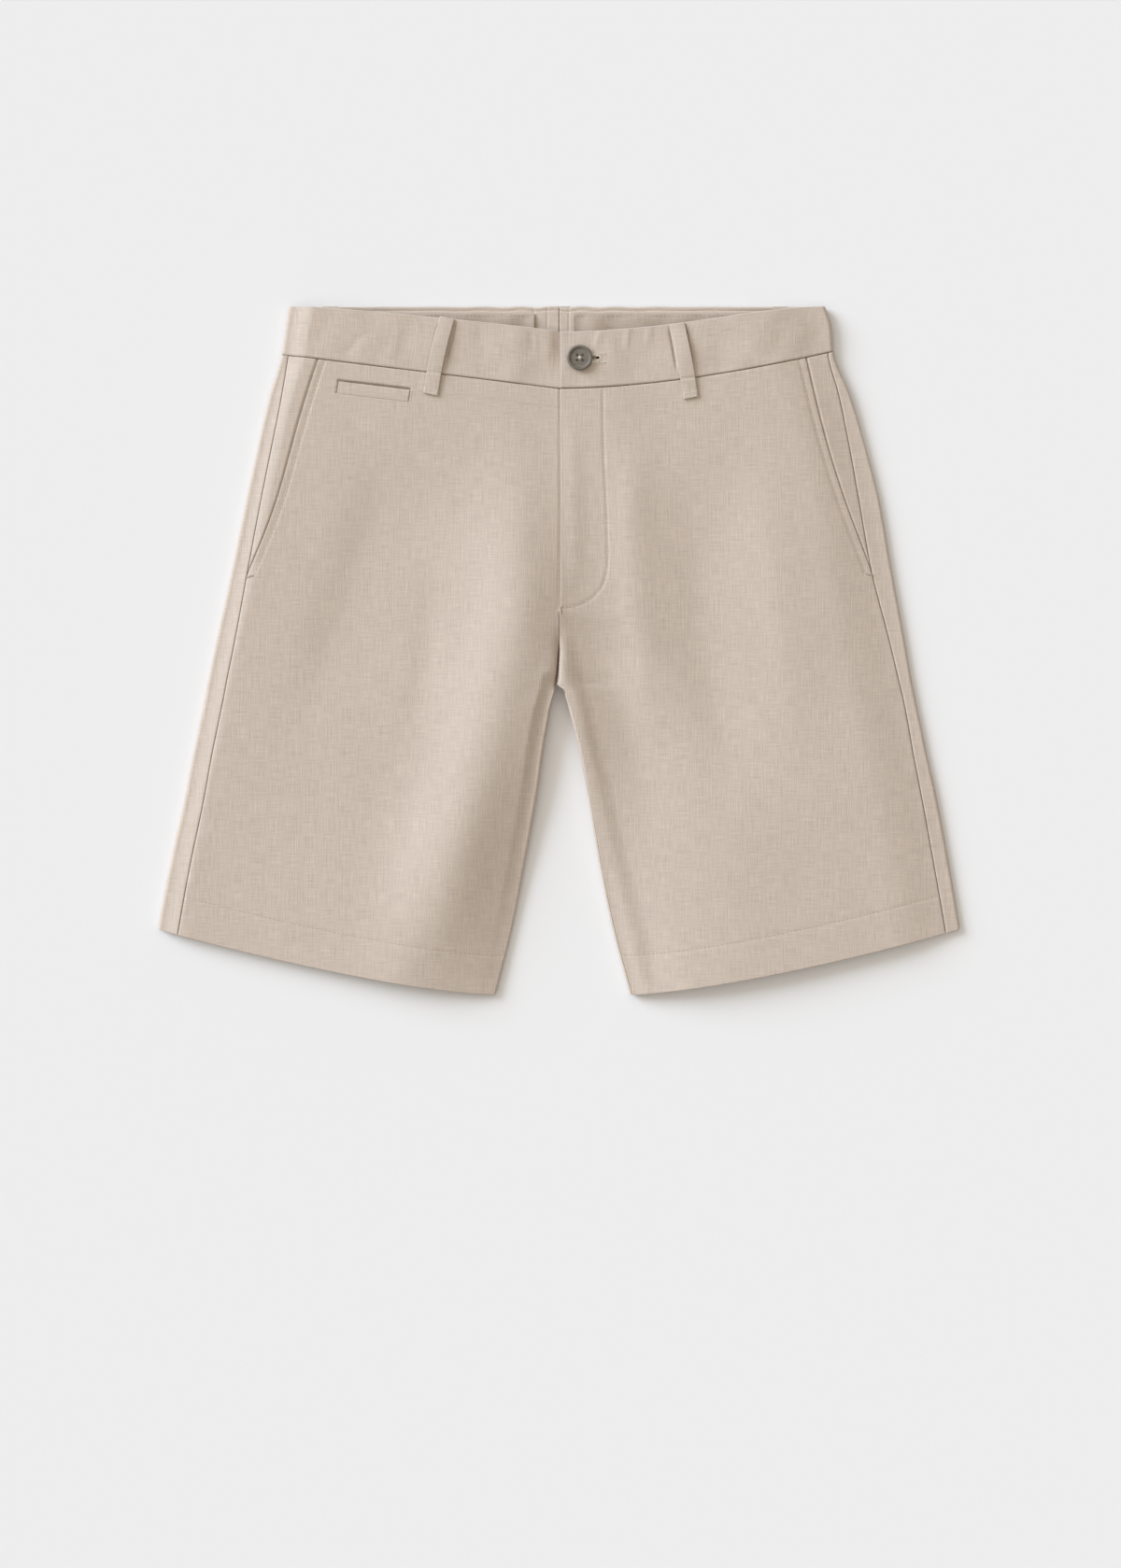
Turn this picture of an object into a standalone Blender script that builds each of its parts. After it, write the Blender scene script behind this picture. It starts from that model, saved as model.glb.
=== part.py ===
"""Bermuda shorts laid flat on a table, front side up: every cut piece is one closed solid.

The frame: +X runs towards the wearer's left leg, +Y towards the waist, +Z up from the table.
A place on the garment is given by x, across from the centre line, and by its drop, down from the
top edge of the back waistband. The back lies flat on the table. The front lies over it, lofted a
little, and the back wraps round each side fold, so that the side seams show on the front.
Lengths are in metres.
"""

from collections import namedtuple

import bpy
import numpy as np

# Cloth and the gaps between pieces
SEAM_GAP = 0.0003
CLOTH = 0.0012
HEM_CLOTH = 0.0020
BAND_CLOTH = 0.0020
FACING_CLOTH = 0.0010
LOOP_CLOTH = 0.0013

# Outline: one row for each level down the garment. outer is from the centre line to the side fold,
# roll is how far the side seam lies in from the fold, inner is from the centre line to the inner
# leg edge below the crotch, and loft is the height of the front at the middle of a leg.
Section = namedtuple(
    "Section", "drop outer_right outer_left roll_right roll_left inner_right inner_left loft"
)
SECTIONS = [
    Section(0.0000, 0.2030, 0.1998, 0.0040, 0.0040, 0.0026, -0.0026, 0.0119),
    Section(0.0120, 0.2049, 0.2040, 0.0044, 0.0042, 0.0026, -0.0026, 0.0119),
    Section(0.0365, 0.2086, 0.2068, 0.0052, 0.0046, 0.0026, -0.0026, 0.0118),
    Section(0.0650, 0.2171, 0.2180, 0.0090, 0.0080, 0.0026, -0.0026, 0.0114),
    Section(0.1000, 0.2257, 0.2289, 0.0106, 0.0116, 0.0026, -0.0026, 0.0109),
    Section(0.1400, 0.2347, 0.2398, 0.0114, 0.0152, 0.0026, -0.0026, 0.0105),
    Section(0.1970, 0.2466, 0.2503, 0.0124, 0.0152, 0.0026, -0.0026, 0.0102),
    Section(0.2460, 0.2574, 0.2596, 0.0140, 0.0116, 0.0026, -0.0026, 0.0101),
    Section(0.2840, 0.2652, 0.2664, 0.0142, 0.0092, 0.0026, -0.0026, 0.0100),
    Section(0.2868, 0.2657, 0.2670, 0.0142, 0.0091, 0.0030, 0.0016, 0.0100),
    Section(0.2960, 0.2675, 0.2688, 0.0141, 0.0090, 0.0043, 0.0045, 0.0099),
    Section(0.3110, 0.2707, 0.2720, 0.0142, 0.0093, 0.0068, 0.0084, 0.0099),
    Section(0.3280, 0.2743, 0.2754, 0.0143, 0.0098, 0.0099, 0.0126, 0.0098),
    Section(0.3640, 0.2811, 0.2833, 0.0146, 0.0108, 0.0151, 0.0202, 0.0098),
    Section(0.4170, 0.2923, 0.2930, 0.0150, 0.0110, 0.0247, 0.0293, 0.0096),
    Section(0.4680, 0.3016, 0.3014, 0.0155, 0.0108, 0.0351, 0.0398, 0.0094),
    Section(0.5173, 0.3090, 0.3090, 0.0155, 0.0110, 0.0475, 0.0530, 0.0090),
]
CROTCH = 0.2840
CROTCH_OPEN = 0.2960
CROTCH_BEND = -0.0028
BEND_FROM = 0.2450
BEND_POWER = 2.5
HEM_HIGH = 0.4680
HEM_LOW = 0.5173
HEM_BOW = 1.4
HEM_DEPTH = 0.030
HEM_EASE = 0.02
BACK_HEM_SHORT = 0.0015

# Waist, a row for each side: the front of the band dips in the middle, by dip at its top edge.
# The seam under the band rises from FRONT_SEAM_DROP to seam_side at the side fold.
RIGHT, LEFT = -1, 1
WaistCurve = namedtuple("WaistCurve", "dip top_a top_b seam_bow seam_side lap_end")
WAIST = {
    RIGHT: WaistCurve(0.0188, 1.0, 1.25, 1.00, 0.0365, 0.0280),
    LEFT: WaistCurve(0.0196, 2.0, 1.80, 1.75, 0.0337, 0.0010),
}
FRONT_SEAM_DROP = 0.0622
BACK_SEAM_DROP = 0.0410
BAND_PROUD = 0.0005

# Heights of the folded cloth over the table
WAIST_FOLD_TOP = 0.0072
LEG_FOLD_TOP = {RIGHT: 0.0058, LEFT: 0.0046}
WAIST_FOLD_RUN = 0.120
EDGE_RUN = {RIGHT: 0.017, LEFT: 0.050}
INNER_RUN = 0.046
LIFT_TOP = 0.0013
LIFT_FULL_TO = 0.062
LIFT_NONE_FROM = 0.125

# The inner fold of a leg stands up at the crotch and sinks towards the hem. Across is how far its
# round side reaches, and the strip of the left back that shows beside the inseam is SHOWS wide.
CROTCH_TOP = {RIGHT: 0.0140, LEFT: 0.0162}
INSEAM_TOP = {RIGHT: 0.0046, LEFT: 0.0062}
INSEAM_RUN = 0.190
CROTCH_ACROSS = 0.0004
INSEAM_ACROSS = 0.0030
ACROSS_RUN = 0.022
BACK_INSEAM_SHOWS = 0.0021
SHOWS_RUN = 0.080
SEAM_UNDER = 0.35

# Where the left front laps over the right, at the band and down the fly
BAND_LAP = 0.00115
FLY_LAP = 0.00078
FLY_END = 0.2310
FLY_UNDER = 0.0060
FLY_EASE = 0.012
UNDER_EASE = 0.006
LAP_RUN = 0.036
LAP_BEYOND = 0.010
LAP_SHORT = 0.004

# Side pockets: where the slanted mouth starts at the band's seam, how far it bows outwards, and
# how far it sways out in its upper half and in again in its lower half
PocketMouth = namedtuple("PocketMouth", "top bow sway")
POCKET = {RIGHT: PocketMouth(0.1805, -0.0026, 0.0014), LEFT: PocketMouth(0.1850, -0.0042, 0.0)}
POCKET_FOOT = 0.1970
POCKET_UNDER = 0.024
POCKET_MOUTH_RUN = 0.008
POCKET_CLEAR = 0.0007

# Coin pocket welt, on the wearer's right front: its middle, its length, and how it slants
WELT_X = -0.1392
WELT_DROP = 0.0645
WELT_LONG = 0.0532
WELT_HIGH = 0.0090
WELT_SLANT = 0.118
WELT_LEAN = 0.170
WELT_CLOTH = 0.0010

# Belt loops: (name, x and drop of the upper end, x and drop of the lower end)
LoopPlace = namedtuple("LoopPlace", "name x_top drop_top x_foot drop_foot")
FRONT_LOOPS = [
    LoopPlace("belt_loop_front_right", -0.0838, 0.0092, -0.0964, 0.0668),
    LoopPlace("belt_loop_front_left", 0.0883, 0.0138, 0.0988, 0.0695),
]
BACK_LOOPS = [
    LoopPlace("belt_loop_side_right", -0.1725, -0.0008, -0.1725, 0.0550),
    LoopPlace("belt_loop_centre_back", 0.0020, -0.0008, 0.0020, 0.0550),
    LoopPlace("belt_loop_side_left", 0.1660, -0.0008, 0.1660, 0.0550),
]
LOOP_WIDTH = 0.0111
LOOP_BOW = 0.0017
LOOP_EASE = 0.006
BACK_LOOP_CLOTH = 0.0010

# Button and buttonhole
BUTTON_X = 0.0155
BUTTON_DROP = 0.0396
BUTTON_R = 0.0095
BUTTON_THICK = 0.0028
BUTTON_RIM = 0.0023
BUTTON_DISH = 0.0007
BUTTON_ROUND = 0.0006
BUTTON_HOLE_R = 0.0010
BUTTON_HOLE_OFF = 0.0020
BUTTON_STANDS = 0.0010
SHANK_R = 0.0009
BUTTONHOLE_FROM = 0.0125
BUTTONHOLE_TO = 0.0336
BUTTONHOLE_WIDE = 0.0024
CUT_CLEAR = 0.0012

# Waistband facing inside the back
BACK_FACING_TOP = 0.0052
BACK_FACING_FROM = {RIGHT: 0.0185, LEFT: 0.0105}
BACK_FACING_FOOT = 0.0385
BACK_FACING_HALF = 0.1880

# Creases: soft ridges (height above 0) and troughs (below 0) down a smooth line through points
# (x, drop). before and after are how far each spreads towards -X and +X, and the fades are the
# shares of its length over which it fades in at the top and out at the foot.
Crease = namedtuple("Crease", "points before after height fade_top fade_foot")
RIDGE_LINE = (
    (-0.034, 0.085), (-0.030, 0.180), (-0.031, 0.235), (-0.044, 0.290), (-0.058, 0.345),
    (-0.075, 0.400), (-0.086, 0.440), (-0.099, 0.480), (-0.130, 0.560),
)
VALLEY_LINE = (
    (0.011, 0.236), (0.016, 0.262), (0.0235, 0.290), (0.032, 0.328), (0.041, 0.364),
    (0.0535, 0.417), (0.067, 0.468), (0.081, 0.560),
)
CREASES = [
    Crease(RIDGE_LINE, 0.036, 0.034, 0.0115, 0.34, 0.34),
    Crease(((-0.105, 0.330), (-0.122, 0.430), (-0.130, 0.560)), 0.080, 0.040, 0.0022, 0.60, 0.001),
    Crease(
        ((-0.120, 0.090), (-0.142, 0.180), (-0.169, 0.260), (-0.190, 0.345)),
        0.023, 0.055, -0.0026, 0.35, 0.40,
    ),
    Crease(
        ((0.054, 0.080), (0.056, 0.180), (0.062, 0.250), (0.074, 0.340)),
        0.014, 0.018, 0.0026, 0.30, 0.40,
    ),
    Crease(
        ((0.098, 0.100), (0.104, 0.180), (0.112, 0.260), (0.138, 0.390)),
        0.020, 0.026, -0.0028, 0.35, 0.35,
    ),
    Crease(
        ((0.152, 0.075), (0.158, 0.160), (0.170, 0.240), (0.185, 0.360)),
        0.020, 0.040, 0.0024, 0.40, 0.45,
    ),
    Crease(VALLEY_LINE, 0.010, 0.050, -0.0026, 0.10, 0.30),
    Crease(((0.116, 0.280), (0.112, 0.400), (0.118, 0.560)), 0.060, 0.110, 0.0042, 0.45, 0.001),
    Crease(((0.010, 0.072), (0.011, 0.150), (0.012, 0.222)), 0.006, 0.007, 0.0007, 0.25, 0.25),
]
CREASE_CLEAR_OUT = 0.025
CREASE_CLEAR_IN = 0.012
GROOVE_DEPTH = 0.0016
GROOVE_HALF = 0.0030
GROOVE_EASE = 0.030

# How finely the cloth is divided
LEG_ROWS = (10, 6, 3, 13)
FRONT_COLUMNS = 20
STRIP_COLUMNS = 4
FOLD_COLUMNS = 7
BACK_COLUMNS = 9
INNER_COLUMNS = 4
BAND_FRONT_COLUMNS = 26
BAND_BACK_COLUMNS = 12
BAND_ROWS = 5
POCKET_COLUMNS = 9
POCKET_ROWS = 14
ROUND_STEPS = 40

LINEN = ("linen", (0.58, 0.50, 0.41), 0.9)
FACING = ("facing", (0.62, 0.55, 0.46), 0.9)
HORN = ("button_horn", (0.17, 0.155, 0.13), 0.45)
THREAD = ("thread", (0.80, 0.77, 0.70), 0.8)

LOOP_PEEK = -BACK_LOOPS[0].drop_top
TOP_Y = (HEM_LOW - LOOP_PEEK) / 2
SIDE_NAME = {RIGHT: "right", LEFT: "left"}


def clear_scene():
    for obj in list(bpy.data.objects):
        bpy.data.objects.remove(obj, do_unlink=True)


def material(kind):
    name, colour, roughness = kind
    found = bpy.data.materials.get(name)
    if found:
        return found
    made = bpy.data.materials.new(name)
    made.use_nodes = True
    shader = made.node_tree.nodes["Principled BSDF"]
    shader.inputs["Base Color"].default_value = (*colour, 1.0)
    shader.inputs["Roughness"].default_value = roughness
    shader.inputs["Metallic"].default_value = 0.0
    return made


def add_object(name, points, faces, kind):
    mesh = bpy.data.meshes.new(name)
    mesh.from_pydata([tuple(p) for p in points], [], faces)
    mesh.materials.append(material(kind))
    mesh.shade_smooth()
    mesh.set_sharp_from_angle(angle=np.radians(40))
    obj = bpy.data.objects.new(name, mesh)
    bpy.context.scene.collection.objects.link(obj)
    return obj


# Curves of the garment


def ease(t):
    """0 below 0, 1 above 1, and smooth between."""
    t = np.clip(t, 0, 1)
    return t * t * (3 - 2 * t)


def mix(a, b, t):
    return a + (b - a) * t


def through_points(at, values, where):
    """A smooth curve through points: a cubic on each span, with slopes from its neighbours."""
    at, values = np.asarray(at, float), np.asarray(values, float)
    slopes = np.gradient(values, at)
    where = np.clip(where, at[0], at[-1])
    low = np.clip(np.searchsorted(at, where, side="right") - 1, 0, len(at) - 2)
    span = at[low + 1] - at[low]
    t = (where - at[low]) / span
    return (
        (1 + 2 * t) * (1 - t) ** 2 * values[low]
        + t * (1 - t) ** 2 * span * slopes[low]
        + t**2 * (3 - 2 * t) * values[low + 1]
        - t**2 * (1 - t) * span * slopes[low + 1]
    )


def section(column, drop):
    """A column of SECTIONS at any drop."""
    return through_points([row.drop for row in SECTIONS], [getattr(row, column) for row in SECTIONS], drop)


def by_side(table, x):
    return np.where(x < 0, table[RIGHT], table[LEFT])


def outer_edge(x, drop):
    """From the centre line to the side fold, on the side that x lies on."""
    return np.where(x < 0, section("outer_right", drop), section("outer_left", drop))


def centre_bend(drop):
    """x of the centre seam, which bends towards its foot."""
    share = np.clip((drop - BEND_FROM) / (CROTCH - BEND_FROM), 0, 1)
    return CROTCH_BEND * share**BEND_POWER


def inner_x(side, drop):
    """x of a leg's inner edge: the centre seam, and below the crotch the inseam."""
    inseam = side * section("inner_" + SIDE_NAME[side], drop)
    return np.where(drop > CROTCH, inseam, centre_bend(drop) + side * SEAM_GAP / 2)


def hem(x):
    """Drop of the hem, lowest at the inner leg and rising to the side fold."""
    side_inner = np.where(x < 0, SECTIONS[-1].inner_right, SECTIONS[-1].inner_left)
    side_outer = outer_edge(x, HEM_HIGH)
    share = np.clip((np.abs(x) - side_inner) / (side_outer - side_inner), 0, 1.05)
    return HEM_LOW - (HEM_LOW - HEM_HIGH) * share**HEM_BOW


def waist_value(column, x):
    """A column of WAIST, for the side that x lies on."""
    return np.where(x < 0, getattr(WAIST[RIGHT], column), getattr(WAIST[LEFT], column))


def waist_seam(x, layer=0.0):
    """Drop of the seam between band and legs, on the front (layer 0) and on the back (layer 1)."""
    seam_side = waist_value("seam_side", x)
    share = np.clip(np.abs(x) / outer_edge(x, seam_side), 0, 1.1)
    front = FRONT_SEAM_DROP - (FRONT_SEAM_DROP - seam_side) * share ** waist_value("seam_bow", x)
    back = BACK_SEAM_DROP - (BACK_SEAM_DROP - seam_side) * share
    return mix(front, back, layer)


def band_top(x, layer=0.0):
    """Drop of the band's top edge: it dips on the front and is straight on the back."""
    share = np.clip(np.abs(x) / outer_edge(x, 0.0), 0, 1)
    rounded = (1 - share ** waist_value("top_a", x)) ** waist_value("top_b", x)
    return waist_value("dip", x) * rounded * (1 - layer)


# Heights over the table


def lift(drop):
    """The waist lies on the back belt loops, and the legs lie on the table."""
    return LIFT_TOP * (1 - ease((drop - LIFT_FULL_TO) / (LIFT_NONE_FROM - LIFT_FULL_TO)))


def fold_top(x, drop):
    return mix(WAIST_FOLD_TOP, by_side(LEG_FOLD_TOP, x), ease(drop / WAIST_FOLD_RUN))


def fold_radius(x, drop, proud=0.0):
    return (fold_top(x, drop) + proud - lift(drop)) / 2


def inner_top(x, drop):
    """Height of a leg's inner fold."""
    down = ease((drop - CROTCH) / INSEAM_RUN)
    return mix(by_side(CROTCH_TOP, x), by_side(INSEAM_TOP, x), down)


def inner_across(x, drop):
    """How far the round side of the inner fold reaches across."""
    opened = ease((drop - CROTCH) / ACROSS_RUN)
    return mix(CROTCH_ACROSS, np.minimum(INSEAM_ACROSS, inner_top(x, drop) / 2), opened)


def inseam_angle(side, drop):
    """Where the inner fold is split between front and back, as an angle up from the middle of its
    side: just under the middle, or near the top where a strip of the back shows."""
    shown = ease((drop - CROTCH_OPEN) / SHOWS_RUN) * (side == LEFT)
    return np.arccos(1 - BACK_INSEAM_SHOWS * shown / inner_across(side, drop)) - SEAM_UNDER * (1 - shown)


def crease_height(x, drop):
    """Height that the soft ridges and troughs add: each is a bell across its line."""
    total = np.zeros(np.broadcast(x, drop).shape)
    for crease in CREASES:
        xs, drops = np.array(crease.points).T
        across = x - through_points(drops, xs, drop)
        along = (drop - drops[0]) / (drops[-1] - drops[0])
        wide = np.where(across < 0, crease.before, crease.after)
        fade = ease(along / crease.fade_top) * ease((1 - along) / crease.fade_foot)
        total = total + crease.height * fade * np.exp(-((across / wide) ** 2))
    return total


def front_height(x, drop):
    """Height of the front's outer face: it rises from the side fold and from the inner fold to the
    loft of the leg, with the creases on it, and dips into the centre seam under the fly."""
    from_edge = outer_edge(x, drop) - fold_radius(x, drop) - np.abs(x)
    from_inseam = np.where(x < 0, inner_x(RIGHT, drop) - x, x - inner_x(LEFT, drop))
    from_crotch = np.hypot(x - CROTCH_BEND, CROTCH - drop)
    from_inner = np.where(drop > CROTCH, from_inseam - inner_across(x, drop), from_crotch)
    rise_out = ease(from_edge / by_side(EDGE_RUN, x))
    share = np.clip(from_inner / INNER_RUN, 0, 1)
    rise_in = np.where(x < 0, 1 - (1 - share) ** 2, ease(share))
    body = mix(fold_top(x, drop), section("loft", drop), rise_out)
    creases = crease_height(x, drop) * ease(from_edge / CREASE_CLEAR_OUT) * ease(from_inner / CREASE_CLEAR_IN)
    across = x - centre_bend(drop)
    groove = np.exp(-((across / GROOVE_HALF) ** 2)) * ease((drop - FLY_END) / GROOVE_EASE)
    groove = groove * (drop <= CROTCH)
    return mix(inner_top(x, drop), body, rise_in) + creases - GROOVE_DEPTH * groove


def lap(side, x, full, run):
    """How the left piece rides over the right one near the centre line, and the right dips under."""
    if side == LEFT:
        return full * (1 - ease((x - WAIST[RIGHT].lap_end - LAP_BEYOND) / run))
    return -full * ease((x + run) / (run - LAP_SHORT))


def leg_top(side, x, drop):
    """Outer face of a front leg, with its lap at the fly."""
    closed = 1 - ease((drop - FLY_END) / FLY_EASE)
    return front_height(x, drop) + lap(side, x, FLY_LAP, LAP_RUN) * closed


def band_face(side, x, drop):
    """Outer face of the front of the waistband."""
    return front_height(x, drop) + BAND_PROUD + lap(side, x, BAND_LAP, LAP_RUN)


# Walls of cloth


def spot(x, drop, z):
    return np.stack([x, TOP_Y - drop, z], axis=-1)


def wall(name, outer, inner, kind, kept=None):
    """A closed solid between two grids of points that match row by row and column by column.
    kept says which cells of the grid are cloth."""
    rows, columns = outer.shape[:2]
    kept = np.ones((rows - 1, columns - 1), bool) if kept is None else kept
    corners = [int(r * columns + c) for r, c in np.argwhere(kept)]
    cells = [(a, a + 1, a + 1 + columns, a + columns) for a in corners]
    far = rows * columns
    faces = cells + [tuple(far + corner for corner in cell[::-1]) for cell in cells]
    edges = {edge for cell in cells for edge in zip(cell, cell[1:] + cell[:1])}
    faces += [(b, a, far + a, far + b) for a, b in sorted(edges) if (b, a) not in edges]
    points = np.concatenate([outer.reshape(-1, 3), inner.reshape(-1, 3)])
    a, b, _, d = cells[0]
    normal = np.cross(points[b] - points[a], points[d] - points[a])
    if np.dot(normal, points[a] - points[far + a]) < 0:
        faces = [face[::-1] for face in faces]
    used = sorted({corner for face in faces for corner in face})
    place = {corner: i for i, corner in enumerate(used)}
    faces = [tuple(place[corner] for corner in face) for face in faces]
    return add_object(name, points[used], faces, kind)


def crowd_ends(count, amount=0.6):
    """Shares from 0 to 1 that lie closer together towards both ends."""
    t = np.linspace(0, 1, count)
    return t - amount * np.sin(2 * np.pi * t) / (2 * np.pi)


def rows_down(stops, counts):
    """Shares down the garment that pass through each stop."""
    parts = [np.linspace(a, b, n, endpoint=False) for a, b, n in zip(stops, stops[1:], counts)]
    return np.concatenate([*parts, [stops[-1]]])


def side_drop(side, v):
    return mix(WAIST[side].seam_side, HEM_HIGH, v)


def centre_drop(v):
    return mix(FRONT_SEAM_DROP, HEM_LOW, v)


def side_seam(side, v):
    """Distance of the side seam from the centre line, on the front."""
    drop = side_drop(side, v)
    return outer_edge(side, drop) - section("roll_" + SIDE_NAME[side], drop)


def pocket_foot(side):
    """Share down the side seam at which the pocket mouth meets it."""
    return (POCKET_FOOT - WAIST[side].seam_side) / (HEM_HIGH - WAIST[side].seam_side)


def pocket_mouth(side, v):
    """Distance of the slanted pocket edge from the centre line, until it meets the side seam."""
    foot = pocket_foot(side)
    share = np.clip(v / foot, 0, 1)
    straight = mix(POCKET[side].top, side_seam(side, foot), share)
    bow = POCKET[side].bow * np.sin(np.pi * share)
    sway = POCKET[side].sway * np.sin(2 * np.pi * share)
    return np.where(v < foot, straight + bow + sway, side_seam(side, v))


def leg_drop(x, v, layer=0.0):
    """Drop at a share v of the way down a leg, from the band's seam to the hem."""
    foot = hem(x) - BACK_HEM_SHORT * layer
    return mix(waist_seam(x, layer) + SEAM_GAP / 2, foot, v)


def leg_cloth(v):
    """Single cloth, and the turned-up hem at the foot."""
    hem_from = 1 - HEM_DEPTH / (HEM_LOW - FRONT_SEAM_DROP)
    return mix(CLOTH, HEM_CLOTH, ease((v - hem_from) / HEM_EASE))


def wrapped(side, start, inner, v, cloth, proud, place_drop, top_height, counts):
    """Grids of a piece that starts on the front at start, wraps round the side fold and lies
    under the front as far as inner. All distances are from the centre line."""
    drop_out = place_drop["side"](side, v)
    edge = outer_edge(side, drop_out)
    radius = fold_radius(side, drop_out, proud)
    fold_x = side * (edge - radius)
    half_high = (top_height(fold_x, place_drop["at"](fold_x, v, 0.0)) - lift(drop_out)) / 2
    top_x = [mix(start, edge - radius, t) for t in np.linspace(0, 1, counts[0])[:-1]]
    turn = np.linspace(np.pi / 2, -np.pi / 2, counts[1])
    under_x = [mix(edge - radius, inner, t) for t in crowd_ends(counts[2])[1:]]
    grids = []
    for depth in (np.zeros_like(v), cloth):
        columns = []
        for out in top_x:
            x = side * out
            drop = place_drop["at"](x, v, 0.0)
            columns.append(spot(x, drop, top_height(x, drop) - depth))
        for angle in turn:
            x = side * (edge - radius + (radius - depth) * np.cos(angle))
            drop = place_drop["at"](x, v, (1 - np.sin(angle)) / 2)
            z = lift(drop_out) + half_high + (half_high - depth) * np.sin(angle)
            columns.append(spot(x, drop, z))
        for out in under_x:
            x = side * out
            drop = place_drop["at"](x, v, 1.0)
            columns.append(spot(x, drop, lift(drop) + depth))
        grids.append(np.stack(columns, axis=1))
    return grids


# The pieces


def leg_rows(side):
    """Shares down a leg, with a row at the pocket's foot, at the crotch and where the legs part."""
    crotch = (CROTCH - FRONT_SEAM_DROP) / (HEM_LOW - FRONT_SEAM_DROP)
    opened = (CROTCH_OPEN - FRONT_SEAM_DROP) / (HEM_LOW - FRONT_SEAM_DROP)
    return rows_down([0, pocket_foot(side), crotch, opened, 1], LEG_ROWS)


def inner_side(side, v):
    """x where a leg's flat cloth ends: at the centre seam, or where the round inner fold begins."""
    down = centre_drop(v)
    return inner_x(side, down) + side * inner_across(side, down) * (down > CROTCH - SEAM_GAP)


def add_inner_fold(side, v, grid, depth, angle_from, angle_to):
    """Carry a leg's grid on round its inner fold, whose section is half an ellipse."""
    down = centre_drop(v)
    reach = inner_across(side, down)
    middle_x = inner_x(side, down) + side * reach
    high = leg_top(side, middle_x, leg_drop(middle_x, v)) / 2
    columns = []
    for share in np.linspace(0, 1, INNER_COLUMNS)[1:]:
        angle = mix(angle_from, angle_to, share)
        face_x = middle_x - side * reach * np.cos(angle)
        x = face_x + side * depth * np.cos(angle)
        drop = leg_drop(face_x, v, (1 - np.sin(angle)) / 2)
        columns.append(spot(x, drop, high + (high - depth) * np.sin(angle)))
    return np.concatenate([grid, np.stack(columns, axis=1)], axis=1)


def leg_wall(name, side, v, grids, angle_from, angle_to):
    """The wall of a leg panel, with its share of the inner fold below the crotch."""
    flat_cells = grids[0].shape[1] - 1
    depths = (np.zeros_like(v), leg_cloth(v))
    grids = [add_inner_fold(side, v, g, d, angle_from, angle_to) for g, d in zip(grids, depths)]
    kept = np.ones((len(v) - 1, grids[0].shape[1] - 1), bool)
    kept[: sum(LEG_ROWS[:2]), flat_cells:] = False
    return wall(name, grids[0], grids[1], LINEN, kept)


def front_leg(side):
    """A front: from the pocket mouth and side seam to the centre seam and the inner fold."""
    v = leg_rows(side)
    outer = side * (pocket_mouth(side, v) - SEAM_GAP / 2)
    lapped = 1 - ease((centre_drop(v) - FLY_END + UNDER_EASE) / UNDER_EASE)
    inner = inner_side(side, v) + lapped * (FLY_UNDER if side == RIGHT else WAIST[LEFT].lap_end)
    x = mix(outer[:, None], inner[:, None], crowd_ends(FRONT_COLUMNS)[None, :])
    drop = leg_drop(x, v[:, None])
    top = leg_top(side, x, drop)
    grids = [spot(x, drop, top), spot(x, drop, top - leg_cloth(v)[:, None])]
    seam = inseam_angle(side, centre_drop(v))
    return leg_wall("front_" + SIDE_NAME[side], side, v, grids, np.pi / 2, seam)


def back_leg(side):
    """A back: from the side seam round the side fold and under the front to the centre back and
    the inner fold."""
    v = leg_rows(side)
    grids = wrapped(
        side,
        side_seam(side, v) + SEAM_GAP / 2,
        side * inner_side(side, v),
        v,
        leg_cloth(v),
        0.0,
        {"side": side_drop, "at": leg_drop},
        front_height,
        (STRIP_COLUMNS, FOLD_COLUMNS, BACK_COLUMNS),
    )
    seam = inseam_angle(side, centre_drop(v)) - SEAM_GAP / (inner_top(side, centre_drop(v)) / 2)
    return leg_wall("back_" + SIDE_NAME[side], side, v, grids, -np.pi / 2, seam)


def band_drop(x, v, layer):
    return mix(band_top(x, layer), waist_seam(x, layer) - SEAM_GAP / 2, v)


def band_side_drop(side, v):
    return WAIST[side].seam_side * v


def waistband(side):
    """Half of the waistband: from its lapped end at the front, round the side, to centre back."""
    v = np.linspace(0, 1, BAND_ROWS)
    start = np.full(BAND_ROWS, side * WAIST[side].lap_end)
    inner = np.full(BAND_ROWS, SEAM_GAP / 2)
    outer_face, inner_face = wrapped(
        side,
        start,
        inner,
        v,
        np.full(BAND_ROWS, BAND_CLOTH),
        BAND_PROUD,
        {"side": band_side_drop, "at": band_drop},
        lambda x, drop: band_face(side, x, drop),
        (BAND_FRONT_COLUMNS, FOLD_COLUMNS, BAND_BACK_COLUMNS),
    )
    return wall("waistband_" + SIDE_NAME[side], outer_face, inner_face, LINEN)


def cut_away(body, name, points, faces):
    """Cut a closed shape out of a solid, with a guide that stays hidden."""
    cutter = add_object(name, points, faces, LINEN)
    cutter.hide_render = True
    cutter.display_type = "WIRE"
    cut = body.modifiers.new(name, "BOOLEAN")
    cut.operation = "DIFFERENCE"
    cut.solver = "EXACT"
    cut.object = cutter


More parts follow.
